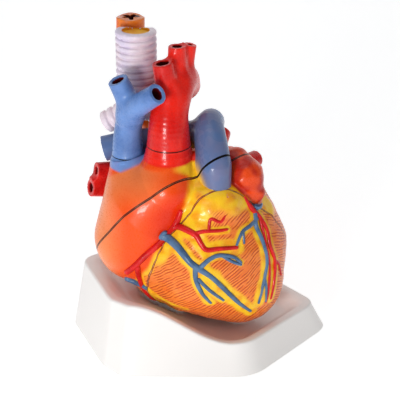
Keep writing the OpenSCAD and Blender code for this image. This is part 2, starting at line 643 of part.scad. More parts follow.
// A skin over rings of points, closed by a fan at each end
module loft(rings, first, last) {
  n = len(rings[0]);
  m = len(rings);
  points = concat([for (r = rings) each r], [first, last]);
  polyhedron(points, concat(
    [for (j = [0 : n - 1]) [n * m, j, (j + 1) % n]],
    [for (j = [0 : n - 1]) [n * m + 1, (m - 1) * n + (j + 1) % n, (m - 1) * n + j]],
    [for (i = [0 : m - 2]) for (j = [0 : n - 1]) let (k = (j + 1) % n) each
      [[i * n + j, (i + 1) * n + k, i * n + k], [i * n + j, (i + 1) * n + j, (i + 1) * n + k]]]));
}

rim_round = 3;
module stand_skin() {
  top = [for (f = [0.86, 0.74, 0.6, 0.42, 0.2]) [for (q = shrunk(rim, f)) [q[0], q[1], dish_z(q, f)]]];
  side = [for (j = [0 : len(foot) - 1]) let (q = foot[j], r = rim[j], h = rim_z(r[0]) - rim_round) [
    r[0] + (q[0] - r[0]) * rim_round / 60, r[1] + (q[1] - r[1]) * rim_round / 60, h]];
  edge = [for (q = shrunk(rim, 0.99)) [q[0], q[1], rim_z(q[0])]];
  inner = [for (q = shrunk(rim, rim_band)) [q[0], q[1], rim_z(q[0])]];
  loft(concat([raised(foot, 0), side, edge, inner], top), [dish_middle[0], dish_middle[1], 0],
    [dish_middle[0], dish_middle[1], dish_z(dish_middle, 0)]);
}
module stand_hollow() {
  low = [for (q = shrunk(foot, 0.95)) [q[0], q[1], -1]];
  up = [for (q = shrunk(rim, 0.92)) [q[0], q[1], dish_z(q, 0.86) - stand_wall]];
  top = [for (f = [0.6, 0.3]) [for (q = shrunk(rim, f)) [q[0], q[1], dish_z(q, f) - stand_wall - 1]]];
  loft(concat([low, up], top), [dish_middle[0], dish_middle[1], -1],
    [dish_middle[0], dish_middle[1], dish_z(dish_middle, 0) - stand_wall - 1]);
}
plate_screws = [[-104, -20], [-70, -62], [44, -66], [104, 8], [58, 70], [-52, 72], [-106, 28]];
screw_d = 4;
boss_r = 6;
flange_h = 3;
nut_h = 8;
rod_low = 5;
boss_low = 15;
module stand_shell() color([0.93, 0.92, 0.90]) difference() {
  union() {
    resize([0, 0, 0]) difference() {
      stand_skin();
      difference() {
        stand_hollow();
        for (q = plate_screws) translate([q[0], q[1], plate_t]) cylinder(r = boss_r, h = 80, $fn = 12);
        translate([rod_place[0], rod_place[1], boss_low]) cylinder(d = flange_d + 4, h = 80, $fn = 16);
      }
    }
    translate([rod_place[0], rod_place[1], boss_low])
      cylinder(d = flange_d, h = seat_z - flange_h - boss_low, $fn = round_fn);
  }
  translate([rod_place[0], rod_place[1], 0]) cylinder(r = rod_d / 2 + fit, h = 60, $fn = round_fn);
  translate([rod_place[0], rod_place[1], seat_z - flange_h])
    cylinder(d = flange_d + 1, h = 60, $fn = round_fn);
  for (q = plate_screws) translate([q[0], q[1], -1]) cylinder(d = screw_d, h = 15, $fn = 24);
  plate_form(0.2, -1);
}
module plate_form(extra, low) translate([0, 0, low]) linear_extrude(plate_t - low)
  polygon([for (q = shrunk(foot, 0.97)) q + (q - dish_middle) * extra / 120]);
module base_plate() color([0.85, 0.84, 0.82]) difference() {
  plate_form(0, 0);
  for (q = plate_screws) translate([q[0], q[1], -1]) {
    cylinder(d = screw_d + 0.6, h = 10, $fn = 24);
    cylinder(d = screw_d * 2 + 0.4, h = 2.4, $fn = 24);
  }
}
module base_plate_screws() color(steel) for (q = plate_screws) translate([q[0], q[1], 0.2]) {
  cylinder(d = screw_d * 2, h = 1.2, $fn = 24);
  cylinder(d = screw_d, h = 12, $fn = 24);
}
module support_rod() color(steel) translate([rod_place[0], rod_place[1], 0]) {
  translate([0, 0, rod_low]) cylinder(d = rod_d, h = rod_top - rod_low, $fn = round_fn);
  translate([0, 0, seat_z - flange_h]) cylinder(d = flange_d, h = flange_h, $fn = round_fn);
}
module support_rod_nut() color(steel) translate([rod_place[0], rod_place[1], boss_low - nut_h]) difference() {
  cylinder(d = rod_d * 1.9, h = nut_h, $fn = 6);
  translate([0, 0, -1]) cylinder(r = rod_d / 2 + fit, h = nut_h + 2, $fn = round_fn);
}

stand_shell();
base_plate();
base_plate_screws();
support_rod();
support_rod_nut();
rod_sleeve();
lower_heart();
lower_heart_arteries();
lower_heart_veins();
pulmonary_trunk_root();
tricuspid_valve();
mitral_valve();
upper_half_pins();
front_wall_pins();
front_wall_magnets_rear();
front_wall();
front_wall_arteries();
front_wall_veins();
front_wall_magnets_front();
upper_heart();
pulmonary_trunk();
right_pulmonary_veins();
left_pulmonary_veins();
aortic_collar();
aortic_valve();
caval_collar();
superior_vena_cava();
aorta();
trachea();
trachea_lining();
oesophagus();
oesophagus_lining();
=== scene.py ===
"""Looks for the heart model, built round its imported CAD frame.

Forms are worked out in millimetres in the CAD frame: +Z up, -Y to the front, +X to the right.
A form is a distance field, sampled on a fine grid and skinned, so it's smooth where the CAD has facets.
"""

import math

import bpy
import numpy as np
from mathutils import Matrix, Vector, noise


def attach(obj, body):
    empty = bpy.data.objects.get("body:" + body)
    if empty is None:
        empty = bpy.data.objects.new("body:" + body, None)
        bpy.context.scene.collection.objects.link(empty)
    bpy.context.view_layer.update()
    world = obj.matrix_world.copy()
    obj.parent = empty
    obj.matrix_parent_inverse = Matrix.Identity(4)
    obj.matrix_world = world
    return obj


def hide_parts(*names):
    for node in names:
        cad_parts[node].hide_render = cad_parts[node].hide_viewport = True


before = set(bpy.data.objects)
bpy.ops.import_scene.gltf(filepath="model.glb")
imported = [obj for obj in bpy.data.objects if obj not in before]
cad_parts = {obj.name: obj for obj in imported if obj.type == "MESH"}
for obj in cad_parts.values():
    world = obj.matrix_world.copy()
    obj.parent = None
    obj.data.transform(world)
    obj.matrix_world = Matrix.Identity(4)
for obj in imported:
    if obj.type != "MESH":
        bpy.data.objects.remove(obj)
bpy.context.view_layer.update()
scene = bpy.context.scene

MM = 0.001
UP = np.array([0.0, 0.0, 1.0])
FAR = 400.0

# Camera: height of the aim, rise of the view, distance and the focal length in picture widths
AIM = np.array([0.0, 0.0, 148.0])
VIEW_RISE = 25.0
VIEW_AWAY = 1250.0
VIEW_SCALE = 1.045
AIM_DROP = 2.9
PICTURE = 400
SENSOR = 36.0

# Lights: name, place and size in metres, power
LIGHTS = [("key", (-0.5, -1.25, 0.24), 0.3, 9.5), ("fill", (1.3, -0.9, 0.8), 1.0, 1.5),
          ("top", (-0.2, -0.1, 1.9), 1.2, 5.2)]

# The heart's limbs: start, end, start radius, end radius; then the length over which a group blends
RIGHT_ATRIUM = [((-59, -4, 108), (-50, -5, 147), 43, 42), ((-46, -16, 146), (-30, -26, 168), 36, 24)], 14
VENTRICLES = [((-38, -14, 80), (0, -16, 86), 29, 45), ((0, -16, 86), (38, -8, 60), 45, 33),
              ((32, 6, 100), (29, 4, 122), 47, 43), ((2, -22, 120), (11, -27, 152), 38, 26),
              ((32, 2, 90), (40, -8, 62), 44, 32)], 30
LEFT_ATRIUM = [((-12, 34, 150), (26, 34, 150), 36, 34)], 14
ROOTS = [((-27, -10, 160), (-29, -12, 199), 24, 22), ((-66, 2, 165), (-68, 3, 186), 17, 17),
         ((-6, -12, 170), (-2, -10, 188), 16, 12)], 1
AURICLE = [((34, 2, 184), (43, -12, 176), 14, 15), ((43, -12, 176), (52, -16, 160), 15, 9)], 8
LEFT_CHAMBER = [((36, 0, 130), (47, -20, 66), 23, 14)], 1
AORTIC_WAY = [((34, 4, 130), (0, 6, 158), 10, 10), ((0, 6, 158), (-29, -12, 188), 10, 12)], 1

# Walls, as in the CAD model
ATRIUM_WALL, RIGHT_WALL, SEPTUM_WALL, VESSEL_WALL = 6, 9, 11, 3.5
MUSCLE, VALVE_DROP, CAVAL_FLOOR = 5, -12, 184

# Seams: tip from +Z, turn about Z, distance from the origin, and the gap that shows
UPPER_SEAM, FRONT_SEAM = (50, 128, 101.5), (102, -70, 8)
SEAM_GAP = 0.7

# Vessels: x, y, z and radius along each
CAVA_TRUNK = [(-68, 3, 186, 16.5), (-68, 3, 191, 15), (-68, 3, 204, 14), (-67, 1, 220, 12.8),
              (-64, -4, 236, 12.5), (-61, -8, 247, 11)]
CAVA_LEFT = [(-64, -4, 234, 11), (-67, -7, 250, 10.5), (-75, -10, 270, 9.5)]
CAVA_RIGHT = [(-64, -4, 234, 11), (-56, -20, 249, 10.5), (-38, -35, 266, 9.5)]
AORTA_TRUNK = [(-29, -12, 200, 22), (-29, -12, 207, 20.5), (-29, -12, 222, 19), (-28, -9, 238, 17.5),
               (-25, -2, 252, 17.5), (-21, 12, 260, 17.5), (-17, 28, 257, 16.5), (-15, 41, 246, 15.5)]
AORTA_FIRST = [(-27, -6, 250, 12), (-31, -8, 268, 10.5), (-34, -9, 286, 9.5)]
AORTA_SECOND = [(-21, 4, 262, 10), (-21, 6, 280, 9), (-21, 6, 297, 8)]
AORTA_THIRD = [(-16, 17, 262, 9), (-12, 17, 280, 7), (-9, 17, 295, 6)]
LUNG_TRUNK = [(16, -30, 166, 13), (15, -28, 182, 14), (14, -25, 194, 15), (10, -8, 212, 14.5),
              (9, 6, 219, 13.5), (11, 18, 219, 12.5)]
LUNG_ARTERY = [(9, 2, 210, 11), (0, 14, 205, 11.5), (-30, 27, 198, 11.5), (-66, 34, 191, 11.5),
               (-93, 34, 184, 12.5)]
RIGHT_VEINS = [[(-46, 36, 158, 9), (-80, 36, 160, 9), (-101, 29, 163, 8)],
               [(-44, 38, 141, 10), (-84, 38, 141, 9.5), (-107, 29, 145, 9)]]
LEFT_VEINS = [[(12, 34, 164, 10), (17, 46, 180, 9), (22, 62, 190, 8.5)],
              [(30, 42, 154, 10), (46, 58, 158, 9), (56, 70, 158, 8.5)]]


# Fields ---------------------------------------------------------------------


def limb(p, a, b, ra, rb):
    """Distance from points p to a tapered limb."""
    a, b = np.array(a, float), np.array(b, float)
    ab = b - a
    q = p - a
    t = np.clip(q @ ab / (ab @ ab), 0, 1)
    return np.sqrt(((q - t[:, None] * ab) ** 2).sum(1)) - ra - (rb - ra) * t


def smooth_min(a, b, k):
    """The smaller of two distances, rounded over a length k where they cross."""
    h = np.maximum(k - np.abs(a - b), 0) / k
    return np.minimum(a, b) - h * h * k / 4


def blend(p, limbs, k):
    """Distance to a smooth union of limbs."""
    d = limb(p, *limbs[0])
    for l in limbs[1:]:
        d = smooth_min(d, limb(p, *l), k)
    return d


def heart(p):
    """Distance to the heart's outer form."""
    lower = smooth_min(blend(p, *RIGHT_ATRIUM), blend(p, *VENTRICLES), 8)
    rear = smooth_min(lower, blend(p, *LEFT_ATRIUM), 14)
    root = smooth_min(rear, blend(p, *ROOTS), 14)
    return smooth_min(root, blend(p, *AURICLE), 5)


def seam_normal(seam):
    tip, turn = math.radians(seam[0]), math.radians(seam[1])
    return np.array([math.sin(tip) * math.cos(turn), math.sin(tip) * math.sin(turn), math.cos(tip)])


def past(p, seam):
    """How far points lie past a seam."""
    return p @ seam_normal(seam) - seam[2]


def smooth_step(low, high, x):
    t = np.clip((x - low) / (high - low), 0, 1)
    return t * t * (3 - 2 * t)


def curve(line, steps=8):
    """A line of (x, y, z, radius) eased into a smooth curve: its points and radii."""
    knots = np.array(line, float)
    padded = np.vstack([knots[:1], knots, knots[-1:]])
    rows = []
    for a, b, c, d in zip(padded, padded[1:], padded[2:], padded[3:]):
        for t in np.arange(steps) / steps:
            rows.append(0.5 * (2 * b + (c - a) * t + (2 * a - 5 * b + 4 * c - d) * t**2
                               + (3 * b - a - 3 * c + d) * t**3))
    rows.append(knots[-1])
    rows = np.array(rows)
    return rows[:, :3], rows[:, 3]


def chain(p, points, radii):
    """Distance to limbs in a row."""
    d = np.full(len(p), FAR)
    for limb_ends in zip(points, points[1:], radii, radii[1:]):
        d = np.minimum(d, limb(p, *limb_ends))
    return d


def vessel(p, line, steps=4, start=0.0, end=0.0, grow=0.0):
    """Distance to a vessel with flat ends, which start and end draw out."""
    points, radii = curve(line, steps)
    d, ends = chain(p, points, radii), []
    for (tip, inner), r, out in ((points[:2], radii[0], start), (points[:-3:-1], radii[-1], end)):
        way = (tip - inner) / np.linalg.norm(tip - inner)
        if out:
            d = np.minimum(d, limb(p, tip, tip + way * out, r, r))
        ends.append((p - tip) @ way - out)
    return np.maximum(d - grow, np.maximum(*ends))


# Meshes ---------------------------------------------------------------------

BLOCK = 8  # samples along a side of a block
HEART_STEP, TRUNK_STEP, FINE = 1.5, 1.0, 0.9  # grid steps; the last is for the other vessels and pipes


def sample(field, low, high, step):
    """Values of a field on a grid: exact near its zero surface, and one value a block elsewhere."""
    low = np.array(low, float)
    count = np.ceil((np.array(high) - low) / (step * BLOCK)).astype(int)
    values = np.empty(count * BLOCK)
    split = [side for n in count for side in (n, BLOCK)]
    blocks = values.reshape(split).transpose(0, 2, 4, 1, 3, 5)
    cells = np.stack(np.meshgrid(*map(np.arange, count), indexing="ij"), -1).reshape(-1, 3)
    corners = low + cells * BLOCK * step
    middle = field(corners + (BLOCK - 1) / 2 * step)
    blocks[tuple(cells.T)] = middle[:, None, None, None]
    near = np.abs(middle) < BLOCK * step
    local = np.stack(np.meshgrid(*[np.arange(BLOCK)] * 3, indexing="ij"), -1).reshape(-1, 3) * step
    exact = field((corners[near][:, None] + local).reshape(-1, 3))
    blocks[tuple(cells[near].T)] = exact.reshape(-1, BLOCK, BLOCK, BLOCK)
    return values


def slope(field, p, reach=0.05):
    """Unit gradient of a field at points p."""
    steps = np.eye(3) * reach
    g = np.stack([field(p + s) - field(p - s) for s in steps], 1)
    return g / np.maximum(np.linalg.norm(g, axis=1), 1e-9)[:, None]


def crossed(values, low, step):
    """The quads that straddle a grid's zero surface, as cell numbers, and where their edges cross it."""
    shape, flat = np.array(values.shape), values.ravel()
    stride = np.array([shape[1] * shape[2], shape[2], 1])
    index = np.arange(flat.size).reshape(shape)
    quads, crossings = [], []
    for axis in range(3):
        u, v = (axis + 1) % 3, (axis + 2) % 3
        keep = [slice(1, -1)] * 3
        keep[axis] = slice(1, -2)
        at = index[tuple(keep)].ravel()
        a, b = flat[at], flat[at + stride[axis]]
        hit = (a < 0) != (b < 0)
        at, a, b = at[hit], a[hit], b[hit]
        point = np.stack(np.unravel_index(at, shape), 1).astype(float)
        point[:, axis] += a / (a - b)
        four = np.stack([at, at - stride[u], at - stride[u] - stride[v], at - stride[v]], 1)
        four[a >= 0] = four[a >= 0][:, ::-1]
        quads.append(four)
        crossings.append(low + point * step)
    return np.vstack(quads), np.vstack(crossings)


def unpinched(values):
    """Turns a corner's sign where the corners of a grid square alternate, because the surface would pinch there."""
    pinched = True
    while pinched:
        pinched = False
        for u, v in ((0, 1), (1, 2), (2, 0)):
            w = np.moveaxis(values, (u, v), (0, 1))
            inside = w < 0
            across = (inside[:-1, :-1] == inside[1:, 1:]) & (inside[1:, :-1] == inside[:-1, 1:])
            for i, j, k in np.argwhere(across & (inside[:-1, :-1] != inside[1:, :-1])):
                pinched = True
                square = w[i:i + 2, j:j + 2, k]
                m, n = np.unravel_index(np.abs(square).argmin(), (2, 2))
                square[m, n] = 0.01 if square[m, n] < 0 else -0.01
    return values


def skinned(field, low, high, step, settle=2):
    """Points and quads of a field's zero surface, by surface nets, settled onto the surface."""
    low = np.array(low, float)
    quads, crossings = crossed(unpinched(sample(field, low, high, step)), low, step)
    order = np.unique(quads, return_inverse=True)[1].reshape(-1)
    count = np.bincount(order)
    sums = [np.bincount(order, np.repeat(crossings[:, k], 4)) for k in range(3)]
    points = np.stack(sums, 1) / count[:, None]
    for _ in range(settle):
        points -= np.clip(field(points), -step, step)[:, None] * slope(field, points)
    return points, order.reshape(-1, 4)


def placed(name, data):
    """A new object in the scene."""
    made = bpy.data.objects.new(name, data)
    scene.collection.objects.link(made)
    return made


def piece(name, points, faces):
    """A mesh object from points in millimetres."""
    mesh = bpy.data.meshes.new(name)
    mesh.from_pydata((np.asarray(points) * MM).tolist(), [], np.asarray(faces).tolist()
                     if isinstance(faces, np.ndarray) else faces)
    mesh.update()
    return placed(name, mesh)


def places(items, key="co"):
    """Where a mesh's points, or the middles of its faces, lie in millimetres."""
    co = np.empty(len(items) * 3)
    items.foreach_get(key, co)
    return co.reshape(-1, 3) / MM


def finish_faces(made, sharp=40):
    """Smooth shading that keeps the edges of cuts."""
    made.data.shade_smooth()
    made.data.set_sharp_from_angle(angle=math.radians(sharp))
    return made


def combine(made, tools, how):
    """A boolean with closed meshes, which it uses up."""
    for tool in tools:
        change = made.modifiers.new("change", "BOOLEAN")
        change.operation, change.solver, change.object = how, "MANIFOLD", tool
    bpy.context.view_layer.update()
    mesh = bpy.data.meshes.new_from_object(made.evaluated_get(bpy.context.evaluated_depsgraph_get()))
    made.modifiers.clear()
    made.data = mesh
    for tool in tools:
        bpy.data.objects.remove(tool)
    return made


def turned(points, tip, turn, at):
    """Points of a form along +Z, tipped from +Z and turned about it, then moved to a place."""
    spin = Matrix.Rotation(math.radians(turn), 3, "Z") @ Matrix.Rotation(math.radians(tip), 3, "Y")
    return np.asarray(points, float) @ np.array(spin).T + np.asarray(at, float)


def toward(a, b):
    """Tip and turn of the way from a to b."""
    w = (np.array(b, float) - a) / np.linalg.norm(np.array(b, float) - a)
    return math.degrees(math.acos(w[2])), math.degrees(math.atan2(w[1], w[0]))


def loft(name, rings, ends=None):
    """A closed skin over rings of points, lowest first, with a fan at each end."""
    n, m = len(rings[0]), len(rings)
    faces = []
    for j in range(n):
        k = (j + 1) % n
        faces += [[n * m, k, j], [n * m + 1, (m - 1) * n + j, (m - 1) * n + k]]
        faces += [[i + j, i + k, i + n + k, i + n + j] for i in range(0, (m - 1) * n, n)]
    ends = [rings[0].mean(0), rings[-1].mean(0)] if ends is None else ends
    return piece(name, np.vstack([*rings, *ends]), faces)


def lathe(name, profile, at, tip=0, turn=0, sides=64):
    """A solid of revolution from (radius, height) pairs, lowest first, that starts and ends on its axis."""
    t = 2 * np.pi * np.arange(sides) / sides
    rings = [np.stack([r * np.cos(t), r * np.sin(t), np.full(sides, float(h))], 1) for r, h in profile[1:-1]]
    ends = [(0, 0, profile[0][1]), (0, 0, profile[-1][1])]
    return loft(name, [turned(ring, tip, turn, at) for ring in rings], turned(ends, tip, turn, at))


def drum(r, low, high, at, tip=0, turn=0, sides=64):
    """A closed cylinder, for cuts and short round parts; an upright one needs only x and y."""
    return lathe("drum", [(0, low), (r, low), (r, high), (0, high)], (*at, 0)[:3], tip, turn, sides)


def half_space(seam, beyond=True):
    """A block that fills one side of a seam, short of it by half the gap."""
    low, high = (seam[2] + SEAM_GAP / 2, FAR) if beyond else (-FAR, seam[2] - SEAM_GAP / 2)
    corners = [(x, y, z) for z in (low, high) for x, y in ((-FAR, -FAR), (FAR, -FAR), (FAR, FAR), (-FAR, FAR))]
    faces = [[3, 2, 1, 0], [4, 5, 6, 7], [0, 1, 5, 4], [1, 2, 6, 5], [2, 3, 7, 6], [3, 0, 4, 7]]
    return piece("side", turned(corners, seam[0], seam[1], (0, 0, 0)), faces)


def rough(p, size, seed=0.0):
    """Smooth noise at points, about -1 to 1, with lumps of a given size."""
    scaled = p / size + seed
    return np.array([noise.noise(q) for q in scaled.tolist()])


# Heart ----------------------------------------------------------------------

# Coronary vessels on the front: (x, z, radius), each dropped onto the heart from the front
RIGHT_CORONARY = [(-18, 153, 2.4), (-22, 142, 3.2), (-28, 133, 3.3), (-39, 121, 3.2), (-53, 107, 3.2), (-69, 89, 3)]
RIGHT_MARGINAL = [(-59, 96, 2.8), (-58, 84, 2.6), (-54, 71, 2.5), (-43, 57, 2.3), (-27, 49, 2.1), (-10, 43, 1.6)]
CONUS_ARTERIES = [
    [(-24, 139, 3.2), (-17, 140, 3.2), (-5, 137, 3), (1, 129, 2.6), (6, 124, 2.5), (18, 124, 2.2), (34, 122, 1.9)],
    [(-6, 137, 2.2), (4, 140, 1.9), (17, 140, 1.7), (25, 140, 1.3)],
    [(8, 140, 1.5), (10, 151, 1.6), (19, 148, 1.6), (24, 156, 1.0)]
]
LEFT_DESCENDING = [
    [(38, 166, 1.4), (43, 158, 2.2), (49, 149, 2.6), (56, 140, 2.4), (63, 127, 2.2), (66, 113, 2.1),
     (71, 97, 1.9), (71, 78, 1.7), (68, 58, 1.3)],
    [(56, 140, 1.8), (60, 124, 1.6), (64, 106, 1.5), (66, 90, 1.4), (65, 66, 1.2), (63, 56, 1)],
    [(71, 97, 1.6), (75, 90, 1.5), (78, 76, 1.1)]
]
FRONT_VEINS = [
    [(-33, 130, 4.2), (-22, 125, 3.9), (-15, 119, 3.6), (-8, 112, 3.3), (-1, 107, 3), (11, 98, 2.5),
     (21, 85, 2.3), (35, 65, 2.1), (48, 50, 1.6)],
    [(-1, 107, 2.5), (8, 115, 2.2), (18, 118, 2.1), (31, 114, 1.8), (38, 107, 1.4)],
    [(21, 117, 1.7), (30, 110, 1.6), (38, 105, 1.3)],
    [(-4, 109, 2.6), (-4, 97, 2.4), (1, 83, 2), (10, 68, 1.4)],
    [(-1, 96, 1.8), (9, 84, 1.8), (22, 69, 1.3)]
]
MIDDLE_VEINS = [
    [(52, 150, 2.4), (52, 136, 2.3), (59, 119, 2), (63, 101, 1.9), (61, 83, 1.8), (56, 58, 1.2)],
    [(53, 140, 2), (47, 137, 2.1), (39, 134, 1.8), (34, 124, 1.2)],
    [(40, 134, 1.5), (41, 124, 1.1)],
    [(61, 84, 1.5), (63, 72, 1.4), (63, 57, 1)]
]
SMALL_VEIN = [(-69, 77, 3.4), (-61, 74, 2.8), (-51, 72, 2.1), (-41, 65, 1.9), (-28, 59, 1.7), (-13, 56, 1.1)]
VEIN_STUB, CUT_STUB = (-34, 131, 5.2), (53, 151, 6)  # cut ends: x, z, radius

# Reach of the painted fat either side of the vessels
FAT_REACH = [
    (RIGHT_CORONARY, 17), (RIGHT_MARGINAL, 6), (SMALL_VEIN, 3.5), (CONUS_ARTERIES[0], 9), (CONUS_ARTERIES[1], 4),
    (FRONT_VEINS[0], 8.5), (FRONT_VEINS[1], 4), (FRONT_VEINS[3], 5.5), (FRONT_VEINS[4], 4.5), (MIDDLE_VEINS[0], 7.5),
    (MIDDLE_VEINS[1], 5), (LEFT_DESCENDING[0], 6)]


def from_front(x, z):
    """Points of the heart's surface met from the front."""
    p = np.stack([x, np.full(len(x), -110.0), z], 1)
    for _ in range(40):
        p[:, 1] += heart(p) * 0.9
    return p


def on_front(route, steps=6):
    """A route eased and dropped onto the heart: points and radii."""
    flat, radii = curve([(x, 0, z, r) for x, z, r in route], steps)
    return from_front(flat[:, 0], flat[:, 2]), radii


def tube(name, path, radii, sides=12):
    """A closed round tube along a path, with domed ends."""
    path, radii = np.asarray(path, float), np.asarray(radii, float)
    way = np.gradient(path, axis=0)
    way /= np.linalg.norm(way, axis=1)[:, None]
    dome = np.array([0.0, 0.38, 0.71, 0.92])
    lead = [path[0] - way[0] * radii[0] * math.sqrt(1 - d * d) for d in dome]
    tail = [path[-1] + way[-1] * radii[-1] * math.sqrt(1 - d * d) for d in dome[::-1]]
    path = np.vstack([lead, path, tail])
    radii = np.concatenate([radii[0] * dome, radii, radii[-1] * dome[::-1]])
    way = np.vstack([[way[0]] * 4, way, [way[-1]] * 4])
    side = np.cross(way[0], UP if abs(way[0][2]) < 0.9 else [1, 0, 0])
    rings, t = [], (np.arange(sides) * 2 * math.pi / sides)[:, None]
    for at, r, w in zip(path[1:-1], radii[1:-1], way[1:-1]):
        side = side - w * (side @ w)
        side /= np.linalg.norm(side)
        rings.append(at + r * (side * np.cos(t) + np.cross(w, side) * np.sin(t)))
    return loft(name, rings, path[[0, -1]])


fat_lines = [(on_front(route, 2)[0], reach) for route, reach in FAT_REACH]


# Fat over the conus, as limbs, and its lobes under the lung trunk: middle, reach and height
CONUS_FAT = [((-6, -30, 140), (13, -24, 158), 22, 20), ((-10, -24, 158), (4, -18, 178), 16, 14),
             ((22, -40, 166), (38, -32, 164), 9, 6), ((54, -24, 158), (66, -8, 143), 3, 3)], 6
LOBES = [((23, -44, 168), 13, 2.4), ((37, -33, 166), 8, 1.4), ((-3, -41, 168), 9, 1.6), ((29, -48, 156), 8, 0.9)]


def fat_share(p):
    """How far the painted fat covers points of the heart: 0 to 1."""
    wave = 1 + 0.22 * rough(p, 9, 3.1)
    share = np.zeros(len(p))
    for line, reach in fat_lines:
        share = np.maximum(share, 1 - smooth_step(0.62, 1.15, chain(p, line, 0 * line[:, 0]) / (reach * wave)))
    return np.maximum(share, 1 - smooth_step(4, 10, blend(p, *CONUS_FAT) + 3 * rough(p, 12, 7.7)))


def atrium_share(p):
    """How far points belong to the right atrium: 0 to 1."""
    others = np.minimum(blend(p, *VENTRICLES), blend(p, *ROOTS) - 2)
    return smooth_step(-1.5, 3, others - blend(p, *RIGHT_ATRIUM))


def relief(p):
    """Height of the modelled lumps and folds above the heart's plain form."""
    fat, atrium = fat_share(p), atrium_share(p)
    auricle = 1 - smooth_step(1, 6, blend(p, *AURICLE))
    lumps = fat * (1 - atrium) * rough(p, 8, 1.7)
    folds = (1 - fat) * (1 - atrium) * 0.35 * rough(p * [0.4, 1, 1], 4, 9.2)
    lobes = auricle * 0.9 * rough(p, 8, 5.5)
    swell = atrium * 0.5 * rough(p, 26, 2.2)
    groove = np.exp(-((blend(p, *RIGHT_ATRIUM) - blend(p, *VENTRICLES)) / 3.5) ** 2)
    rolls = sum(h * np.exp(-(((p - np.array(c)) / r) ** 2).sum(1)) for c, r, h in LOBES)
    shy = auricle * np.maximum(past(p, FRONT_SEAM) + 1.2, 0)  # keeps the auricle behind the front seam
    return (lumps + folds + rolls) * (1 - auricle) + lobes + swell - 0.8 * groove - 1.2 * shy


def chamber(p, number):
    """Distance to a chamber: 1 right atrium, 2 left atrium, 3 right ventricle, 4 left ventricle."""
    ventricle, root = blend(p, *VENTRICLES), np.minimum(blend(p, *ROOTS), blend(p, *AORTIC_WAY))
    if number == 1:
        walls = [blend(p, *RIGHT_ATRIUM) + ATRIUM_WALL, MUSCLE - ventricle, MUSCLE - root,
                 p[:, 2] - CAVAL_FLOOR + ATRIUM_WALL]
    elif number == 2:
        walls = [blend(p, *LEFT_ATRIUM) + ATRIUM_WALL, VALVE_DROP - ventricle, MUSCLE - root,
                 MUSCLE - blend(p, *RIGHT_ATRIUM)]
    elif number == 3:
        walls = [ventricle + RIGHT_WALL, SEPTUM_WALL - blend(p, *LEFT_CHAMBER), MUSCLE - root]
    else:
        walls = [blend(p, *LEFT_CHAMBER)]
    return np.maximum.reduce(walls)


def carried(made, body, material, *nodes, slot=None):
    """Gives a piece its material and body, and hides the CAD nodes that it stands for."""
    made.data.materials.clear()
    made.data.materials.append(material)
    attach(made, body)
    if nodes:
        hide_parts(*nodes)
    return made


def star(name, field, centre, rows=48, cols=72, reach=2.0):
    """A closed skin met by rays from a point inside a form."""
    tilt = np.pi * np.arange(rows - 1, 0, -1) / rows
    spin = 2 * np.pi * np.arange(cols) / cols
    rings = np.stack([np.outer(np.sin(tilt), np.cos(spin)), np.outer(np.sin(tilt), np.sin(spin)),
                      np.repeat(np.cos(tilt)[:, None], cols, 1)], -1)
    ways = np.vstack([rings.reshape(-1, 3), -UP, UP])
    t = np.full(len(ways), reach)
    for _ in range(40):
        t -= field(centre + ways * t[:, None])
    points = centre + ways * t[:, None]
    return loft(name, points[:-2].reshape(rings.shape), points[-2:])


def form(name, field, low, high, step):
    """A mesh object on the zero surface of a field."""
    return piece(name, *skinned(field, low, high, step))


# Seats, as in the CAD model
PIN_R, PIN_REACH, FIT = 3, 8, 0.05
MAGNET_R, MAGNET_T = 4, 3
AORTA_SOCKET_R, CAVA_SOCKET_R = 22.15, 17.15
SKIN_DEPTH = 2.6  # faces deeper than this are cuts
UPPER_PINS = [(-18, -16, 159), (46, 48, 146), (-79, 13, 87)]
FRONT_PINS = [(-38, -40, 80), (64, -12, 108)]
FRONT_MAGNETS = [(14, -14, 48), (-4, -41, 136)]
ROD, ROD_TOP, SEAT = (2, 6), 72, 34
SLEEVE_R, SEAT_R = 7.55, 12
MITRAL, MITRAL_R, MITRAL_DEPTH, RING_W = (18, 26, 140), 12, 10, 2.5
TRICUSPID, TRICUSPID_WAY, TRICUSPID_R = (-42, -12, 114), (-14, -28, 98), 13
CONUS, CONUS_R = ((-4, -28, 118), (15, -28, 176)), 10
AORTA, AORTA_SEAM, AORTA_R, AORTA_FLOOR, VALVE_Z = (-29, -12), 207, 20.5, 199, 187
CAVA, CAVA_SEAM, CAVA_R = (-68, 3), 191, 15
COLLAR_SNUG = 0.15
BRONCHUS_PEG, BRONCHUS_SEAT, PEG_R = (-24, 50), 178, 4.5
GULLET_PEGS, GULLET_PEG_END = [(-28, 150), (-32, 165)], 56
PAPILLARIES = [((-34, -16, 58), (-32, -20, 82), 8, 3.5), ((0, -8, 54), (-8, -14, 80), 8, 3.5),
               ((36, 0, 56), (34, 0, 82), 7, 3.5), ((56, -4, 60), (52, 0, 86), 7, 3.5)]
CHAMBERS = {1: (-58, 2, 138), 2: (4, 46, 158), 3: (-14, -30, 98), 4: (41, -10, 98)}


def seam_place(p, seam):
    """A point dropped onto a seam."""
    n = seam_normal(seam)
    return np.array(p, float) + n * (seam[2] - np.array(p, float) @ n)


def seam_bores(spots, seam, r, reach):
    return [drum(r, -reach, reach, seam_place(p, seam), *seam[:2]) for p in spots]


def bar_of(name, line, grow):
    """A vessel's solid, a little larger, to cut its bed in the heart."""
    points, radii = curve(line, 4)
    return tube(name, points, radii + grow, 24)


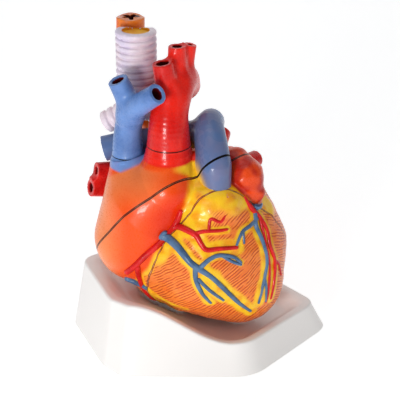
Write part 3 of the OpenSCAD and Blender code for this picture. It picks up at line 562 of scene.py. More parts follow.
def chambers():
    """The hollows of the heart, as cutting tools."""
    tools = [star("chamber", lambda p, k=k: chamber(p, k), np.array(c, float)) for k, c in CHAMBERS.items()]
    tools.append(drum(CONUS_R, 0, np.linalg.norm(np.subtract(*CONUS)), CONUS[0], *toward(*CONUS), 32))
    first, second = AORTIC_WAY[0]
    return [*tools, tube("way", [first[0], second[0], second[1]], [first[2], second[2], second[3]], 24)]


# Materials ------------------------------------------------------------------


def srgb(red, green, blue):
    """A colour given as it looks on screen, 0 to 255, as linear light."""
    return tuple((c / 255 / 12.92) if c <= 10 else ((c / 255 + 0.055) / 1.055) ** 2.4 for c in (red, green, blue))


class Paint:
    """A material's node tree, with short calls for the nodes it needs."""

    def __init__(self, name, roughness, coat):
        self.material = bpy.data.materials.new(name)
        self.material.use_nodes = True
        self.tree = self.material.node_tree
        self.shader = self.tree.nodes["Principled BSDF"]
        self.feed(self.shader, {"Roughness": roughness, "Coat Weight": coat, "Coat Roughness": 0.06,
                                "Specular IOR Level": 0.2})
        self.place = self.node("ShaderNodeTexCoord").outputs["Object"]
        self.normal = None

    def feed(self, node, inputs):
        """Links or sets a node's inputs, by name or number; None leaves one alone."""
        for key, value in inputs.items():
            socket = node.inputs[key]
            if isinstance(value, bpy.types.NodeSocket):
                self.tree.links.new(value, socket)
            elif socket.type == "RGBA" and isinstance(value, tuple):
                socket.default_value = (*value, 1)
            elif value is not None:
                socket.default_value = value

    def node(self, kind, inputs=None, **settings):
        made = self.tree.nodes.new(kind)
        for key, value in settings.items():
            setattr(made, key, value)
        self.feed(made, inputs or {})
        return made

    def noise(self, size_mm, detail=3.0, rough=0.5, at=None):
        inputs = {"Vector": at or self.place, "Scale": 1000 / size_mm, "Detail": detail, "Roughness": rough}
        return self.node("ShaderNodeTexNoise", inputs).outputs["Fac"]

    def span(self, value, low, high, to_low=0.0, to_high=1.0):
        """Eases a value from one range into another."""
        inputs = {"Value": value, "From Min": low, "From Max": high, "To Min": to_low, "To Max": to_high}
        return self.node("ShaderNodeMapRange", inputs, interpolation_type="SMOOTHSTEP").outputs["Result"]

    def calc(self, a, b, how="MULTIPLY"):
        return self.node("ShaderNodeMath", {0: a, 1: b}, operation=how).outputs[0]

    def mix(self, share, a, b):
        return self.node("ShaderNodeMix", {"Factor": share, "A": a, "B": b}, data_type="RGBA").outputs["Result"]

    def read(self, name, what="Fac"):
        return self.node("ShaderNodeAttribute", attribute_name=name).outputs[what]

    def bump(self, height, depth_mm, strength):
        inputs = {"Strength": strength, "Distance": depth_mm * MM, "Height": height, "Normal": self.normal}
        self.normal = self.node("ShaderNodeBump", inputs).outputs["Normal"]

    def painted_joint_shade(self, base):
        """Painted shade: dark lips along the joints stand in for the shadow in the gaps between parts, where the
        share named joint nears 1.
        """
        return self.mix(self.span(self.read("joint"), 0.58, 0.72), base, (0.006, 0.004, 0.004))

    def done(self, colour, roughness=None):
        self.feed(self.shader, {"Base Color": colour, "Roughness": roughness, "Normal": self.normal})
        return self.material


def gloss(name, colour, deep, size_mm=14, roughness=0.27, coat=0.2, brush_mm=2.2):
    """Hand-painted gloss: patchy colour, fine brush marks and a clear coat."""
    paint = Paint(name, roughness, coat)
    patches = paint.span(paint.noise(size_mm, 4, 0.55), 0.38, 0.66)
    base = paint.mix(patches, colour, deep)
    streaks = paint.noise(brush_mm, 2, 0.6)
    base = paint.mix(paint.span(streaks, 0.3, 0.75, 0.0, 0.16), base, tuple(c * 0.55 for c in colour))
    worn = paint.node("ShaderNodeNewGeometry").outputs["Pointiness"]
    base = paint.mix(paint.span(worn, 0.53, 0.6, 0.0, 0.3), base, tuple(min(1.0, c * 1.5 + 0.05) for c in colour))
    # painted shade along the seams, where the gaps between parts fall dark
    base = paint.painted_joint_shade(base)
    paint.bump(streaks, 0.12, 0.35)
    paint.bump(paint.noise(7, 2), 0.35, 0.3)
    return paint.done(base, paint.span(streaks, 0.2, 0.8, roughness - 0.06, roughness + 0.1))


def skin_paint(name):
    """The heart's outside: airbrushed colours, with hatched muscle, a painted highlight on the ridges between the
    strokes, and waxy fat.
    """
    paint = Paint(name, 0.3, 0.2)
    base = paint.read("paint", "Color")
    patches = paint.noise(11, 4, 0.6)
    base = paint.mix(paint.span(patches, 0.35, 0.7, 0.0, 0.12), base, srgb(205, 50, 6))
    hatch = paint.read("hatch", "Vector")
    parts = paint.node("ShaderNodeSeparateXYZ", {0: hatch})
    bend = paint.calc(paint.noise(20, 1), 2.0)
    wave = paint.calc(paint.calc(paint.calc(parts.outputs["Y"], bend, "ADD"), 2 * math.pi), 0.0, "SINE")
    breaks = paint.node("ShaderNodeTexNoise", {"Vector": hatch, "Scale": 0.9, "Detail": 1.0}, noise_dimensions="2D")
    muscle = paint.read("muscle")
    share = paint.calc(paint.span(breaks.outputs["Fac"], 0.36, 0.5), muscle)
    strokes = paint.calc(paint.span(wave, -0.05, 0.95), share)
    # painted highlight: the ridges between the carved strokes are lightened in colour
    ridge_highlight = paint.calc(paint.span(wave, -0.2, -0.9), share)
    base = paint.mix(paint.calc(ridge_highlight, 0.45), base, srgb(252, 160, 66))
    base = paint.mix(paint.calc(strokes, 0.85), base, srgb(186, 54, 12))
    paint.bump(paint.calc(1.0, strokes, "SUBTRACT"), 0.4, 0.6)
    waxy = paint.calc(paint.noise(5, 3, 0.5), paint.read("fat"))
    paint.bump(waxy, 0.9, 0.6)
    grain = paint.noise(1.6, 2)
    paint.bump(grain, 0.08, 0.4)
    # painted shade along the seams, where the gaps between parts fall dark
    base = paint.painted_joint_shade(base)
    return paint.done(base, paint.span(grain, 0.2, 0.8, 0.24, 0.36))


def cut_paint(name):
    """Cut faces and chambers: pale lining with flecks of muscle."""
    paint = Paint(name, 0.42, 0.15)
    flecks = paint.span(paint.noise(6, 5, 0.6), 0.42, 0.6)
    base = paint.mix(flecks, srgb(236, 168, 120), srgb(214, 98, 58))
    paint.bump(paint.noise(4, 4), 0.6, 0.5)
    return paint.done(base, paint.span(flecks, 0, 1, 0.36, 0.5))


def plastic(name, colour, roughness=0.3, coat=0.2):
    """Smooth moulded plastic with a faint mottle, orange peel and fingermarks."""
    paint = Paint(name, roughness, coat)
    mottle = paint.noise(60, 3, 0.5)
    base = paint.mix(paint.span(mottle, 0.3, 0.7, 0.0, 0.15), colour, tuple(c * 0.95 for c in colour))
    marks = paint.noise(22, 5, 0.7)
    paint.bump(paint.noise(9, 2), 0.12, 0.12)
    paint.bump(paint.noise(1.2, 1), 0.02, 0.2)
    return paint.done(base, paint.span(marks, 0.35, 0.7, roughness - 0.02, roughness + 0.05))


def steel(name, shade=0.6):
    """Turned steel, brushed round its axis."""
    paint = Paint(name, 0.3, 0.0)
    paint.feed(paint.shader, {"Metallic": 1.0})
    stretched = paint.node("ShaderNodeMapping", {"Vector": paint.place, "Scale": (1, 1, 14)})
    lines = paint.noise(8, 3, 0.6, at=stretched.outputs[0])
    paint.bump(lines, 0.03, 0.3)
    base = paint.mix(lines, (shade, shade, shade * 1.02), (shade * 0.75, shade * 0.76, shade * 0.78))
    return paint.done(base, paint.span(lines, 0.3, 0.7, 0.24, 0.42))


ORANGE, PEACH, EMBER = srgb(240, 78, 10), srgb(240, 136, 76), srgb(226, 46, 6)
FAT, FAT_DEEP = srgb(252, 202, 36), srgb(244, 164, 22)
FLESH, FLESH_DEEP = srgb(242, 136, 56), srgb(232, 104, 34)
AURICLE_RED, AURICLE_DEEP = srgb(232, 74, 22), srgb(190, 36, 16)
RED, BLUE = srgb(236, 34, 18), srgb(108, 144, 204)

SKIN = skin_paint("heart_skin_paint")
CUT = cut_paint("cut_face_paint")
ARTERY = gloss("artery_paint", srgb(216, 26, 26), srgb(190, 12, 16))
VEIN = gloss("vein_paint", srgb(88, 120, 156), srgb(62, 92, 128))
CAVA_BLUE = gloss("caval_paint", BLUE, srgb(84, 118, 178), 30)
STEEL = steel("turned_steel")
TRUNK_BLUE = srgb(88, 114, 160)
AORTA_RED = gloss("aorta_paint", RED, srgb(212, 20, 12), 24)
WINDPIPE = gloss("windpipe_paint", srgb(240, 224, 232), srgb(218, 206, 228), 26, 0.3, 0.2)
GULLET = gloss("gullet_paint", srgb(240, 128, 44), srgb(222, 92, 28), 12)
LUNG_RED = gloss("lung_vein_paint", srgb(222, 34, 30), srgb(190, 18, 20), 12)
LUMEN_RED = gloss("lumen_red", srgb(120, 14, 14), srgb(84, 8, 10), 10, 0.4, 0.1)
LUMEN_GOLD = gloss("lumen_gold", srgb(252, 180, 40), srgb(240, 136, 20), 8, 0.35, 0.2)
LUMEN_DARK = gloss("lumen_dark", srgb(96, 30, 22), srgb(52, 10, 8), 6, 0.45, 0.1)
CREAM = gloss("valve_paint", srgb(238, 214, 176), srgb(222, 180, 132), 8, 0.4, 0.1)
WHITE = plastic("stand_white", srgb(240, 237, 234))
GREY = plastic("plate_grey", srgb(214, 212, 208), 0.5, 0.0)


def colour_points(made, name, values):
    """Stores a number, a vector or a colour at each point of a mesh."""
    kind, key = ("FLOAT_COLOR", "color") if name == "paint" else ("FLOAT_VECTOR", "vector")
    if values.ndim == 1:
        kind, key = "FLOAT", "value"
    elif name == "paint":
        values = np.hstack([values, np.ones((len(values), 1))])
    made.data.attributes.new(name, kind, "POINT").data.foreach_set(key, values.astype(np.float32).ravel())


def coated(base, *coats):
    """A colour at each point: a base under coats, each a share at each point and a colour."""
    paint = np.tile(np.array(base), (len(coats[0][0]), 1))
    for share, colour in coats:
        paint = paint + share[:, None] * (np.array(colour) - paint)
    return paint


def nearness(p, seams):
    """1 on a seam, down to 0 at 3 mm from it; less at the front seam, whose line is finer."""
    near = [np.clip(1 - np.abs(past(p, seam)) / 3 - 0.1 * (seam == FRONT_SEAM), 0, 1) for seam in seams]
    return np.maximum.reduce(near)


def paint_heart(made, seams):
    """Airbrushed regions of the heart's outside, and which way its muscle runs."""
    p = places(made.data.vertices)
    fat, atrium = fat_share(p), atrium_share(p)
    rear = smooth_step(-2, 4, np.minimum(blend(p, *VENTRICLES), blend(p, *RIGHT_ATRIUM))
                       - blend(p, *LEFT_ATRIUM))
    ear = 1 - smooth_step(1.5, 6, blend(p, *AURICLE))
    root = 1 - smooth_step(3, 12, blend(p, *ROOTS) + 3 * rough(p, 10, 4.0))
    x, z, stain = p[:, 0], p[:, 2], root * (1 - ear)
    warm = coated(ORANGE, (smooth_step(-66, -96, x), PEACH),
                  (smooth_step(150, 185, z) * smooth_step(-20, -60, x) * 0.8, PEACH),
                  (smooth_step(2, -20, past(p, UPPER_SEAM)) * smooth_step(-60, -30, x), EMBER))
    bands = [(smooth_step(r + 3, r, np.hypot(*(p[:, :2] - at).T)) * smooth_step(low - 0.8, low + 0.8, z), colour)
             for at, r, low, colour in ((AORTA, 26, AORTA_FLOOR - 5, RED), (CAVA, 21, CAVAL_FLOOR - 2.5, BLUE))]
    paint = coated(FLESH, (0.5 + 0.5 * rough(p, 16, 8.8), FLESH_DEEP), (fat, FAT),
                   (fat * smooth_step(-0.1, 0.5, rough(p, 9, 1.7)), FAT_DEEP), (rear, ORANGE), (ear, AURICLE_RED),
                   (ear * smooth_step(-0.25, 0.3, rough(p, 11, 6.1)), AURICLE_DEEP), (stain, ORANGE),
                   (stain * smooth_step(-28, -16, x + 3 * rough(p, 9, 2.6)), FAT),
                   (atrium * smooth_step(-10, -18, x - 0.2 * (z - 160)), warm), *bands)
    muscle = (1 - smooth_step(0.15, 0.6, fat)) * (1 - atrium) * (1 - ear) * (1 - rear) * (1 - root)
    right_side = x > 50 + 16 * smooth_step(155, 105, z)
    lean = math.radians(25) + 0.0022 * (x + 40) + 0.0012 * (z - 80) - math.radians(50) * right_side
    along = x * np.cos(lean) + z * np.sin(lean)
    across = -x * np.sin(lean) + z * np.cos(lean) + 0.4 * p[:, 1]
    colour_points(made, "paint", np.clip(paint, 0, 1))
    colour_points(made, "muscle", muscle)
    colour_points(made, "fat", fat * (1 - atrium))
    colour_points(made, "joint", nearness(p, seams))
    colour_points(made, "hatch", np.stack([along / 13, across / 2.6, 0 * along], 1))


def two_toned(made, material, inside):
    """Gives a second material to the faces whose middles pass a test."""
    made.data.materials.append(material)
    marked = inside(places(made.data.polygons, "center"))
    made.data.polygons.foreach_set("material_index", marked.astype(np.int32))
    return made


def is_cut(p):
    """Whether points of the heart lie on a cut along a seam, in a chamber or in a bore."""
    on_cut = np.abs(heart(p)) > SKIN_DEPTH
    for seam in (UPPER_SEAM, FRONT_SEAM):
        on_cut |= np.abs(np.abs(past(p, seam)) - SEAM_GAP / 2) < 0.01
    return on_cut


def part_of_heart(name, body, node, sides, cuts):
    """One of the three pieces of the heart: the shared hollow form, cut by seams, bored and painted."""
    made = placed(name, skin.data.copy())
    combine(made, [half_space(*side) for side in sides], "INTERSECT")
    combine(made, cuts, "DIFFERENCE")
    paint_heart(made, [seam for seam, _ in sides])
    return finish_faces(two_toned(carried(made, body, SKIN, node), CUT, is_cut))


plain, faces = skinned(heart, (-112, -85, 10), (95, 85, 215), HEART_STEP)
skin = piece("skin", plain + slope(heart, plain) * relief(plain)[:, None], faces)
combine(skin, chambers(), "DIFFERENCE")
for foot, head, thick, thin in PAPILLARIES:
    combine(skin, [tube("post", [foot, head], np.array([thick, thin]), 20)], "UNION")

tricuspid_at = TRICUSPID, *toward(TRICUSPID, TRICUSPID_WAY)
mitral_at = seam_place(MITRAL, UPPER_SEAM), *UPPER_SEAM[:2]


def mitral_cuts():
    return [drum(MITRAL_R + 0.5, -42, 18, *mitral_at), drum(MITRAL_R + RING_W, -MITRAL_DEPTH, 16, *mitral_at)]


part_of_heart("heart_lower_half", "lower_half", "lower_heart", [(UPPER_SEAM, False), (FRONT_SEAM, False)],
    [bar_of("bed", LUNG_TRUNK, COLLAR_SNUG), *mitral_cuts(),
     drum(TRICUSPID_R + 0.5, -20, 26, *tricuspid_at), drum(TRICUSPID_R + RING_W, -22, 0, *tricuspid_at),
     drum(SLEEVE_R, 0, ROD_TOP + 1, ROD), drum(SEAT_R, 0, SEAT + 0.2, ROD),
     *seam_bores(UPPER_PINS, UPPER_SEAM, PIN_R, PIN_REACH),
     *seam_bores(FRONT_PINS, FRONT_SEAM, PIN_R, PIN_REACH),
     *seam_bores(FRONT_MAGNETS, FRONT_SEAM, MAGNET_R, MAGNET_T)])
part_of_heart("heart_front_wall", "front_wall", "front_wall", [(UPPER_SEAM, False), (FRONT_SEAM, True)],
    [bar_of("bed", LUNG_TRUNK, 2 * COLLAR_SNUG),
     *seam_bores(FRONT_PINS, FRONT_SEAM, PIN_R + FIT, PIN_REACH + 0.5),
     *seam_bores(FRONT_MAGNETS, FRONT_SEAM, MAGNET_R, MAGNET_T)])
part_of_heart("heart_upper_half", "upper_half", "upper_heart", [(UPPER_SEAM, True)],
    [bar_of("bed", LUNG_TRUNK, COLLAR_SNUG), bar_of("bed", LUNG_ARTERY, COLLAR_SNUG), *mitral_cuts(),
     *seam_bores(UPPER_PINS, UPPER_SEAM, PIN_R + FIT, PIN_REACH + 0.5),
     drum(AORTA_SOCKET_R, AORTA_FLOOR, 240, AORTA), drum(AORTA_R - VESSEL_WALL, VALVE_Z, 230, AORTA),
     drum(CAVA_SOCKET_R, CAVAL_FLOOR, 220, CAVA), drum(CAVA_R - VESSEL_WALL, 150, 210, CAVA),
     drum(2 * PEG_R - 1.5, BRONCHUS_SEAT, 210, BRONCHUS_PEG),
     drum(PEG_R + FIT, BRONCHUS_SEAT - PIN_REACH - 0.5, 205, BRONCHUS_PEG),
     *[drum(PIN_R + FIT, 0, 30, (x, GULLET_PEG_END - 0.5, z), 90, 90) for x, z in GULLET_PEGS]])
bpy.data.objects.remove(skin)


def relief_vessels(name, routes, body, node, material, sides, stub=None):
    """Coronary vessels modelled on the heart, cut where the seams pass."""
    tubes = [tube(name, *on_front(route)) for route in routes]
    if stub:
        x, z, r, tip, turn = stub
        at = from_front(np.array([x]), np.array([z]))[0]
        profile = [(0, -2.5), (r - 1, -2.5), (r, -1.2), (r, 1.2), (r - 1, 2.2), (r - 2, 1.2), (0, 0.6)]
        tubes.append(lathe("stub", profile, at, tip, turn, 32))
    made = tubes[0]
    if tubes[1:]:
        combine(made, tubes[1:], "UNION")
    combine(made, [half_space(*side) for side in sides], "INTERSECT")
    made.name = name
    return finish_faces(carried(made, body, material, node), 60)


relief_vessels("right_coronary_artery", [RIGHT_CORONARY, RIGHT_MARGINAL, CONUS_ARTERIES[0]], "lower_half",
               "lower_heart_arteries", ARTERY, [(FRONT_SEAM, False), (UPPER_SEAM, False)])
relief_vessels("small_cardiac_vein", [SMALL_VEIN, FRONT_VEINS[0]], "lower_half", "lower_heart_veins", VEIN,
               [(FRONT_SEAM, False)], (*VEIN_STUB, 60, 150))
relief_vessels("front_arteries", [*CONUS_ARTERIES, *LEFT_DESCENDING], "front_wall", "front_wall_arteries", ARTERY,
               [(FRONT_SEAM, True)])
relief_vessels("front_veins", [*FRONT_VEINS, *MIDDLE_VEINS], "front_wall", "front_wall_veins", VEIN,
               [(FRONT_SEAM, True)], (*CUT_STUB, 25, -60))

# Great vessels --------------------------------------------------------------


def branched(p, lines, k, grow=0.0, out=0.0):
    """Distance to a vessel and its branches, eased together."""
    d = vessel(p, lines[0], end=out, grow=grow)
    for line in lines[1:]:
        d = smooth_min(d, vessel(p, line, end=out, grow=grow), k)
    return d


def plugged(name, lines, low, high, foot, seam_z, r, body, node, material):
    """A hollow branched vessel that lifts off its collar, with the spigot it plugs in by."""
    made = form(name, lambda p: np.maximum(branched(p, lines, 7), -branched(p, lines, 5, -VESSEL_WALL, 6)),
                low, high, FINE)
    combine(made, [half_space((0, 0, seam_z))], "INTERSECT")
    combine(made, [drum(r - VESSEL_WALL - FIT, seam_z - PIN_REACH, seam_z + 3, foot)], "UNION")
    combine(made, [drum(r - 2 * VESSEL_WALL + 0.5, seam_z - PIN_REACH - 1, seam_z + 5, foot)], "DIFFERENCE")
    colour_points(made, "joint", nearness(places(made.data.vertices), [(0, 0, seam_z)]))
    carried(made, body, material, node)
    return finish_faces(two_toned(made, LUMEN_RED, lambda p: branched(p, lines, 7) < -1.2), 50)


plugged("great_vein", [CAVA_TRUNK, CAVA_LEFT, CAVA_RIGHT], (-96, -55, 180), (-15, 28, 285),
        CAVA, CAVA_SEAM, CAVA_R, "vena_cava", "superior_vena_cava", CAVA_BLUE)
plugged("great_artery", [AORTA_TRUNK, AORTA_FIRST, AORTA_SECOND, AORTA_THIRD], (-62, -45, 192), (12, 68, 310),
        AORTA, AORTA_SEAM, AORTA_R, "aorta", "aorta", AORTA_RED)


def lung_trunk(p):
    """Distance to the lung trunk, with the swelling that carries it over to the aorta's root."""
    swell = blend(p, [((2, -22, 172), (4, -16, 190), 7.5, 8), ((4, -16, 190), (5, -4, 204), 8, 8),
                      ((6, 4, 214), (-10, 14, 211), 10, 9)], 4)
    solid = smooth_min(smooth_min(vessel(p, LUNG_TRUNK), swell, 9), vessel(p, LUNG_ARTERY), 7)
    hollow = smooth_min(vessel(p, LUNG_TRUNK, start=5, end=5, grow=-VESSEL_WALL),
                        vessel(p, LUNG_ARTERY, start=0, end=5, grow=-VESSEL_WALL), 5)
    return np.maximum(solid, -hollow)


def paint_trunk(name):
    """Slate blue, airbrushed to yellow at the foot on the aorta's side."""
    paint = Paint(name, 0.27, 0.2)
    patches = paint.noise(24, 3)
    base = paint.mix(paint.span(patches, 0.35, 0.7), TRUNK_BLUE, srgb(112, 116, 152))
    paint.bump(paint.noise(2.2, 2), 0.1, 0.35)
    # painted shade along the seam, where the gap between parts falls dark
    base = paint.painted_joint_shade(paint.mix(paint.read("fade"), base, FAT))
    return paint.done(base, paint.span(patches, 0.2, 0.8, 0.22, 0.34))


TRUNK = paint_trunk("lung_trunk_paint")
trunk_points, trunk_faces = skinned(lung_trunk, (-112, -52, 150), (36, 60, 242), TRUNK_STEP)
for name, body, node, beyond in (("lung_trunk", "upper_half", "pulmonary_trunk", True),
                                 ("lung_trunk_root", "lower_half", "pulmonary_trunk_root", False)):
    made = combine(piece(name, trunk_points, trunk_faces), [half_space(UPPER_SEAM, beyond)], "INTERSECT")
    p = places(made.data.vertices)
    edge = 4 - 0.45 * (p[:, 2] - 180) + 3 * rough(p, 12, 3.3)
    colour_points(made, "fade", smooth_step(4, -7, p[:, 0] - edge) * smooth_step(14, -4, p[:, 1]))
    colour_points(made, "joint", nearness(p, [UPPER_SEAM]))
    finish_faces(carried(made, body, TRUNK, node), 50)


def lung_veins(name, lines, low, high, node):
    """A pair of hollow lung veins."""
    made = form(name, lambda p: np.maximum(branched(p, lines, 10), -branched(p, lines, 4, -4, 4)), low, high, FINE)
    carried(made, "upper_half", LUNG_RED, node)
    finish_faces(two_toned(made, LUMEN_RED, lambda p: branched(p, lines, 10) < -1.5), 50)


lung_veins("right_lung_veins", RIGHT_VEINS, (-122, 12, 124), (-30, 56, 176), "right_pulmonary_veins")
lung_veins("left_lung_veins", LEFT_VEINS, (0, 20, 138), (72, 88, 206), "left_pulmonary_veins")

# Windpipe and gullet --------------------------------------------------------

WINDPIPE_X, WINDPIPE_Y, WINDPIPE_R, WINDPIPE_TOP, WINDPIPE_LOW = -60, 38, 19.5, 303, 228
RING_COUNT, RING_RISE, WINDPIPE_BACK, LUMEN_R, FORK_R = 12, 2.6, 11, 13, 12.4
BRONCHI = [((-20, 51, 206), 11.5, 6), ((-92, 41, 208), 11, 5)]  # end, radius and number of rings
FORK = np.array([WINDPIPE_X, WINDPIPE_Y, WINDPIPE_LOW], float)


def bar(off, r, along, low, high=FAR):
    """Distance to a round bar, from the way off its axis and along it."""
    return np.maximum(off - r, np.maximum(low - along, along - high))


def ringed(p, start, way, length, r, rings):
    """Distance to a tube whose wall rises in rounded rings."""
    along = (p - start) @ way
    off = np.linalg.norm((p - start) - along[:, None] * way, axis=1)
    rise = RING_RISE * (np.clip(np.abs(np.sin(math.pi * along / length * rings)) * 1.35, 0, 1) - 1)
    return bar(off, r + rise, along, 0, length)


def windpipe_off(p):
    """Distance from the axis of the windpipe's oval hollow."""
    return np.hypot(p[:, 0] - WINDPIPE_X, (p[:, 1] - WINDPIPE_Y + 2) * 1.12)


def windpipe(p):
    """Distance to the windpipe, flat behind, with its bronchi and the peg it stands on."""
    z = p[:, 2]
    wave = 0.35 * np.sin(z * 0.9 + p[:, 0] * 0.13)
    pipe = ringed(p + wave[:, None] * UP, FORK, UP, WINDPIPE_TOP - WINDPIPE_LOW, WINDPIPE_R, RING_COUNT)
    pipe = -smooth_min(-pipe, -(p[:, 1] - WINDPIPE_Y - WINDPIPE_BACK), 6)
    for end, r, rings in BRONCHI:
        way = np.array(end, float) - FORK
        length = np.linalg.norm(way)
        pipe = smooth_min(pipe, ringed(p, FORK, way / length, length, r, rings), 5)
    pipe = smooth_min(pipe, np.linalg.norm(p - FORK, axis=1) - FORK_R, 5)
    pipe = np.maximum(pipe, -bar(windpipe_off(p), LUMEN_R, z, WINDPIPE_LOW + 6))
    off = np.hypot(*(p[:, :2] - BRONCHUS_PEG).T)
    stem = bar(off, PEG_R + 2.5, z, BRONCHUS_SEAT + 0.3, BRONCHUS_SEAT + 26)
    pin = bar(off, PEG_R, z, BRONCHUS_SEAT - PIN_REACH, BRONCHUS_SEAT + 12)
    return np.minimum(np.minimum(pipe, stem), pin)


made = form("windpipe", windpipe, (-116, 10, 164), (-2, 72, 308), FINE)
carried(made, "trachea", WINDPIPE, "trachea")
two_toned(made, LUMEN_GOLD, lambda p: (windpipe_off(p) < LUMEN_R + 0.3) & (p[:, 2] > WINDPIPE_LOW + 5))
finish_faces(made, 60)

GULLET_LINE = [(-66, 64, 307, 13.5), (-66, 64, 258, 13.5), (-58, 71, 214, 13.5), (-36, 81, 176, 13.5),
               (-27, 82, 138, 13.5)]
GULLET_FLOOR, GULLET_RIM = 294, 306.6


def gullet(p):
    """Distance to the gullet, with a folded mouth and the two pins that hold it."""
    x, y = (p[:, :2] - GULLET_LINE[0][:2]).T
    turn = np.arctan2(y, x)
    solid = vessel(p, GULLET_LINE, 6) + 0.5 * np.sin(turn * 3)
    hole = bar(np.hypot(x, y), 6.2 + 2.6 * np.cos(5 * turn + 0.6), p[:, 2], GULLET_FLOOR)
    pins = [bar(np.hypot(*(p[:, ::2] - at).T), PIN_R, p[:, 1], GULLET_PEG_END, 76) for at in GULLET_PEGS]
    return np.minimum(np.maximum(solid, -hole), np.minimum(*pins))


def in_mouth(p):
    """Whether points lie in the gullet's mouth, below its rim."""
    off = np.hypot(*(p[:, :2] - GULLET_LINE[0][:2]).T)
    return (off < 9.5) & (p[:, 2] > GULLET_FLOOR - 4) & (p[:, 2] < GULLET_RIM)


made = form("gullet", gullet, (-86, 44, 120), (-6, 104, 314), FINE)
carried(made, "oesophagus", GULLET, "oesophagus", "oesophagus_lining")
finish_faces(two_toned(made, LUMEN_DARK, in_mouth), 60)

# Stand ----------------------------------------------------------------------

FOOT = [(-131, 25), (-94, -64), (-74, -85), (50, -86), (130, 11), (72, 88), (-62, 90)]
RIM = [(-119, 33), (-86, -52), (-66, -66), (44, -74), (116, 9), (64, 74), (-56, 76)]
HIGH_RIM, LOW_RIM, SLOPE = 65.5, 28.4, (-64, 30)
DISH_MIDDLE, PLATE_T, RIM_ROUND, STAND_WALL = np.array([2.0, 4.0]), 3, 3, 4
BOSS_R, BOSS_LOW, ROD_R, SCREW_POST_R, SCREW_R = 11, 15, 5, 6, 2
DISH_DEPTH, HEART_CLEAR, CORNER = 10.5, 4.5, 0.16
PLATE_SCREWS = [(-104, -20), (-70, -62), (44, -66), (104, 8), (58, 70), (-52, 72), (-106, 28)]


def outline(corners, steps=10):
    """An outline with its corners rounded, and its sides divided evenly."""
    c = np.array(corners, float)
    ring = []
    for a, b, d in zip(np.roll(c, 1, 0), c, np.roll(c, -1, 0)):
        p, q, e = b + (a - b) * CORNER, b + (d - b) * CORNER, d + (b - d) * CORNER
        ring += [p * (1 - t) ** 2 + b * 2 * t * (1 - t) + q * t * t for t in np.arange(steps) / steps]
        ring += [q + (e - q) * t for t in np.arange(steps) / steps]
    return np.array(ring)


def rim_z(x):
    return HIGH_RIM + (LOW_RIM - HIGH_RIM) * smooth_step(*SLOPE, x)


def dish_z(q, f):
    """Height of the dish, which keeps clear of the heart's underside."""
    under = np.stack([q[:, 0], q[:, 1], np.full(len(q), 10.0)], 1)
    for _ in range(12):
        under[:, 2] += np.maximum(heart(under), 0)
    under = np.where(under[:, 2] > 120, FAR, under[:, 2])
    return np.minimum(rim_z(q[:, 0]) - DISH_DEPTH * smooth_step(0, 0.2, 0.93 - f), under - HEART_CLEAR)


def shrunk(ring, f):
    return DISH_MIDDLE + (ring - DISH_MIDDLE) * f


def ring_at(q, z):
    return np.stack([q[:, 0], q[:, 1], np.zeros(len(q)) + z], 1)


def stand():
    """The sloping moulded stand: a skin with a rounded rim and a dished top, hollow from below."""
    foot, rim = outline(FOOT), outline(RIM)
    lean = (foot - rim) * RIM_ROUND / 60
    rings = [ring_at(foot, 0)]
    for t in np.linspace(0, math.pi / 2, 6):
        q = shrunk(rim, 1 - 0.01 * (1 - math.cos(t)) * 2) + lean * math.cos(t)
        rings.append(ring_at(q, rim_z(q[:, 0]) - RIM_ROUND * (1 - math.sin(t))))
    for f in [0.955, *np.linspace(0.93, 0.7, 16), *np.linspace(0.66, 0.04, 20)]:
        q = shrunk(rim, f)
        rings.append(ring_at(q, dish_z(q, f)))
    made = loft("stand", rings)
    hollow = [ring_at(shrunk(foot, 0.95), -1)]
    for f in (0.86, 0.6, 0.3):
        q = shrunk(rim, f)
        hollow.append(ring_at(shrunk(rim, 0.92) if f == 0.86 else q, dish_z(q, f) - STAND_WALL - (f < 0.8)))
    hollow = loft("hollow", hollow)
    posts = [drum(SCREW_POST_R, PLATE_T, 80, at) for at in PLATE_SCREWS]
    combine(hollow, [*posts, drum(BOSS_R + 2, BOSS_LOW, 80, ROD)], "DIFFERENCE")
    combine(made, [hollow], "DIFFERENCE")
    combine(made, [drum(BOSS_R, BOSS_LOW, SEAT - 3, ROD)], "UNION")
    plate = shrunk(foot, 0.97) + (shrunk(foot, 0.97) - DISH_MIDDLE) * 0.2 / 120
    combine(made, [loft("plate", [ring_at(plate, -1), ring_at(plate, PLATE_T)]), drum(ROD_R + FIT, 0, 60, ROD),
                   drum(BOSS_R + 0.5, SEAT - 3, 94, ROD), *[drum(SCREW_R, -1, 14, at) for at in PLATE_SCREWS]],
            "DIFFERENCE")
    return finish_faces(carried(made, "stand", WHITE, "stand_shell"), 32)


stand()

# Pieces that keep their CAD shape -------------------------------------------

KEPT = {STEEL: ["support_rod", "support_rod_nut", "base_plate_screws", "rod_sleeve", "upper_half_pins",
                "front_wall_pins", "front_wall_magnets_rear", "front_wall_magnets_front"],
        CREAM: ["tricuspid_valve", "mitral_valve", "aortic_valve"],
        AORTA_RED: ["aortic_collar"], CAVA_BLUE: ["caval_collar"], GREY: ["base_plate"],
        LUMEN_GOLD: ["trachea_lining"]}
for material, nodes in KEPT.items():
    for node in nodes:
        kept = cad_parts[node]
        kept.data.materials.clear()
        kept.data.materials.append(material)

# Studio ---------------------------------------------------------------------


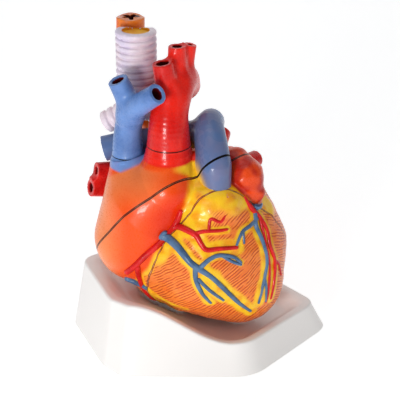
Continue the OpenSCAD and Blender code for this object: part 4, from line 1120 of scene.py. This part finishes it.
def studio():
    """A pale floor that curves up behind, soft boxes and the photograph's camera."""
    floor = Paint("studio_floor", 0.6, 0.0)
    base = floor.mix(floor.noise(400, 2), (0.86, 0.86, 0.86), (0.88, 0.88, 0.88))
    floor.feed(floor.shader, {"Emission Color": (1, 1, 1), "Emission Strength": 0.5})
    paper = floor.done(base)
    rise = [(-4.0, 0.0), (1.5, 0.0)] + [(1.5 + math.sin(t) * 1.2, 1.2 - math.cos(t) * 1.2)
                                        for t in np.linspace(0.1, math.pi / 2, 14)] + [(2.7, 6.0)]
    points = [(x * 1000, y * 1000, z * 1000) for y, z in rise for x in (-6, 6)]
    faces = [[2 * k, 2 * k + 1, 2 * k + 3, 2 * k + 2] for k in range(len(rise) - 1)]
    sweep = piece("studio_sweep", points, faces)
    sweep.data.materials.append(paper)
    sweep.data.shade_smooth()

    world = bpy.data.worlds.new("studio_light")
    world.use_nodes = True
    world.node_tree.nodes["Background"].inputs["Color"].default_value = (0.95, 0.97, 1.0, 1)
    world.node_tree.nodes["Background"].inputs["Strength"].default_value = 0.24
    scene.world = world

    for name, at, size, power in LIGHTS:
        lamp = bpy.data.lights.new(name, "AREA")
        lamp.shape, lamp.size, lamp.energy = "SQUARE", size, power
        light = placed(name, lamp)
        light.location = at
        light.rotation_euler = (Vector((0, 0, 0.12)) - Vector(at)).to_track_quat("-Z", "Y").to_euler()

    rise_angle = math.radians(VIEW_RISE)
    back = np.array([0, -math.cos(rise_angle), math.sin(rise_angle)])
    up = np.array([0, math.sin(rise_angle), math.cos(rise_angle)])
    lens = bpy.data.cameras.new("photo_camera")
    lens.sensor_width = SENSOR
    lens.lens = VIEW_SCALE * VIEW_AWAY / PICTURE * SENSOR
    lens.clip_end = 50
    camera = placed("photo_camera", lens)
    camera.location = (AIM - up * AIM_DROP + back * VIEW_AWAY) * MM
    camera.rotation_euler = Vector(-back).to_track_quat("-Z", "Y").to_euler()
    scene.camera = camera
    scene.view_settings.view_transform = "Standard"


studio()
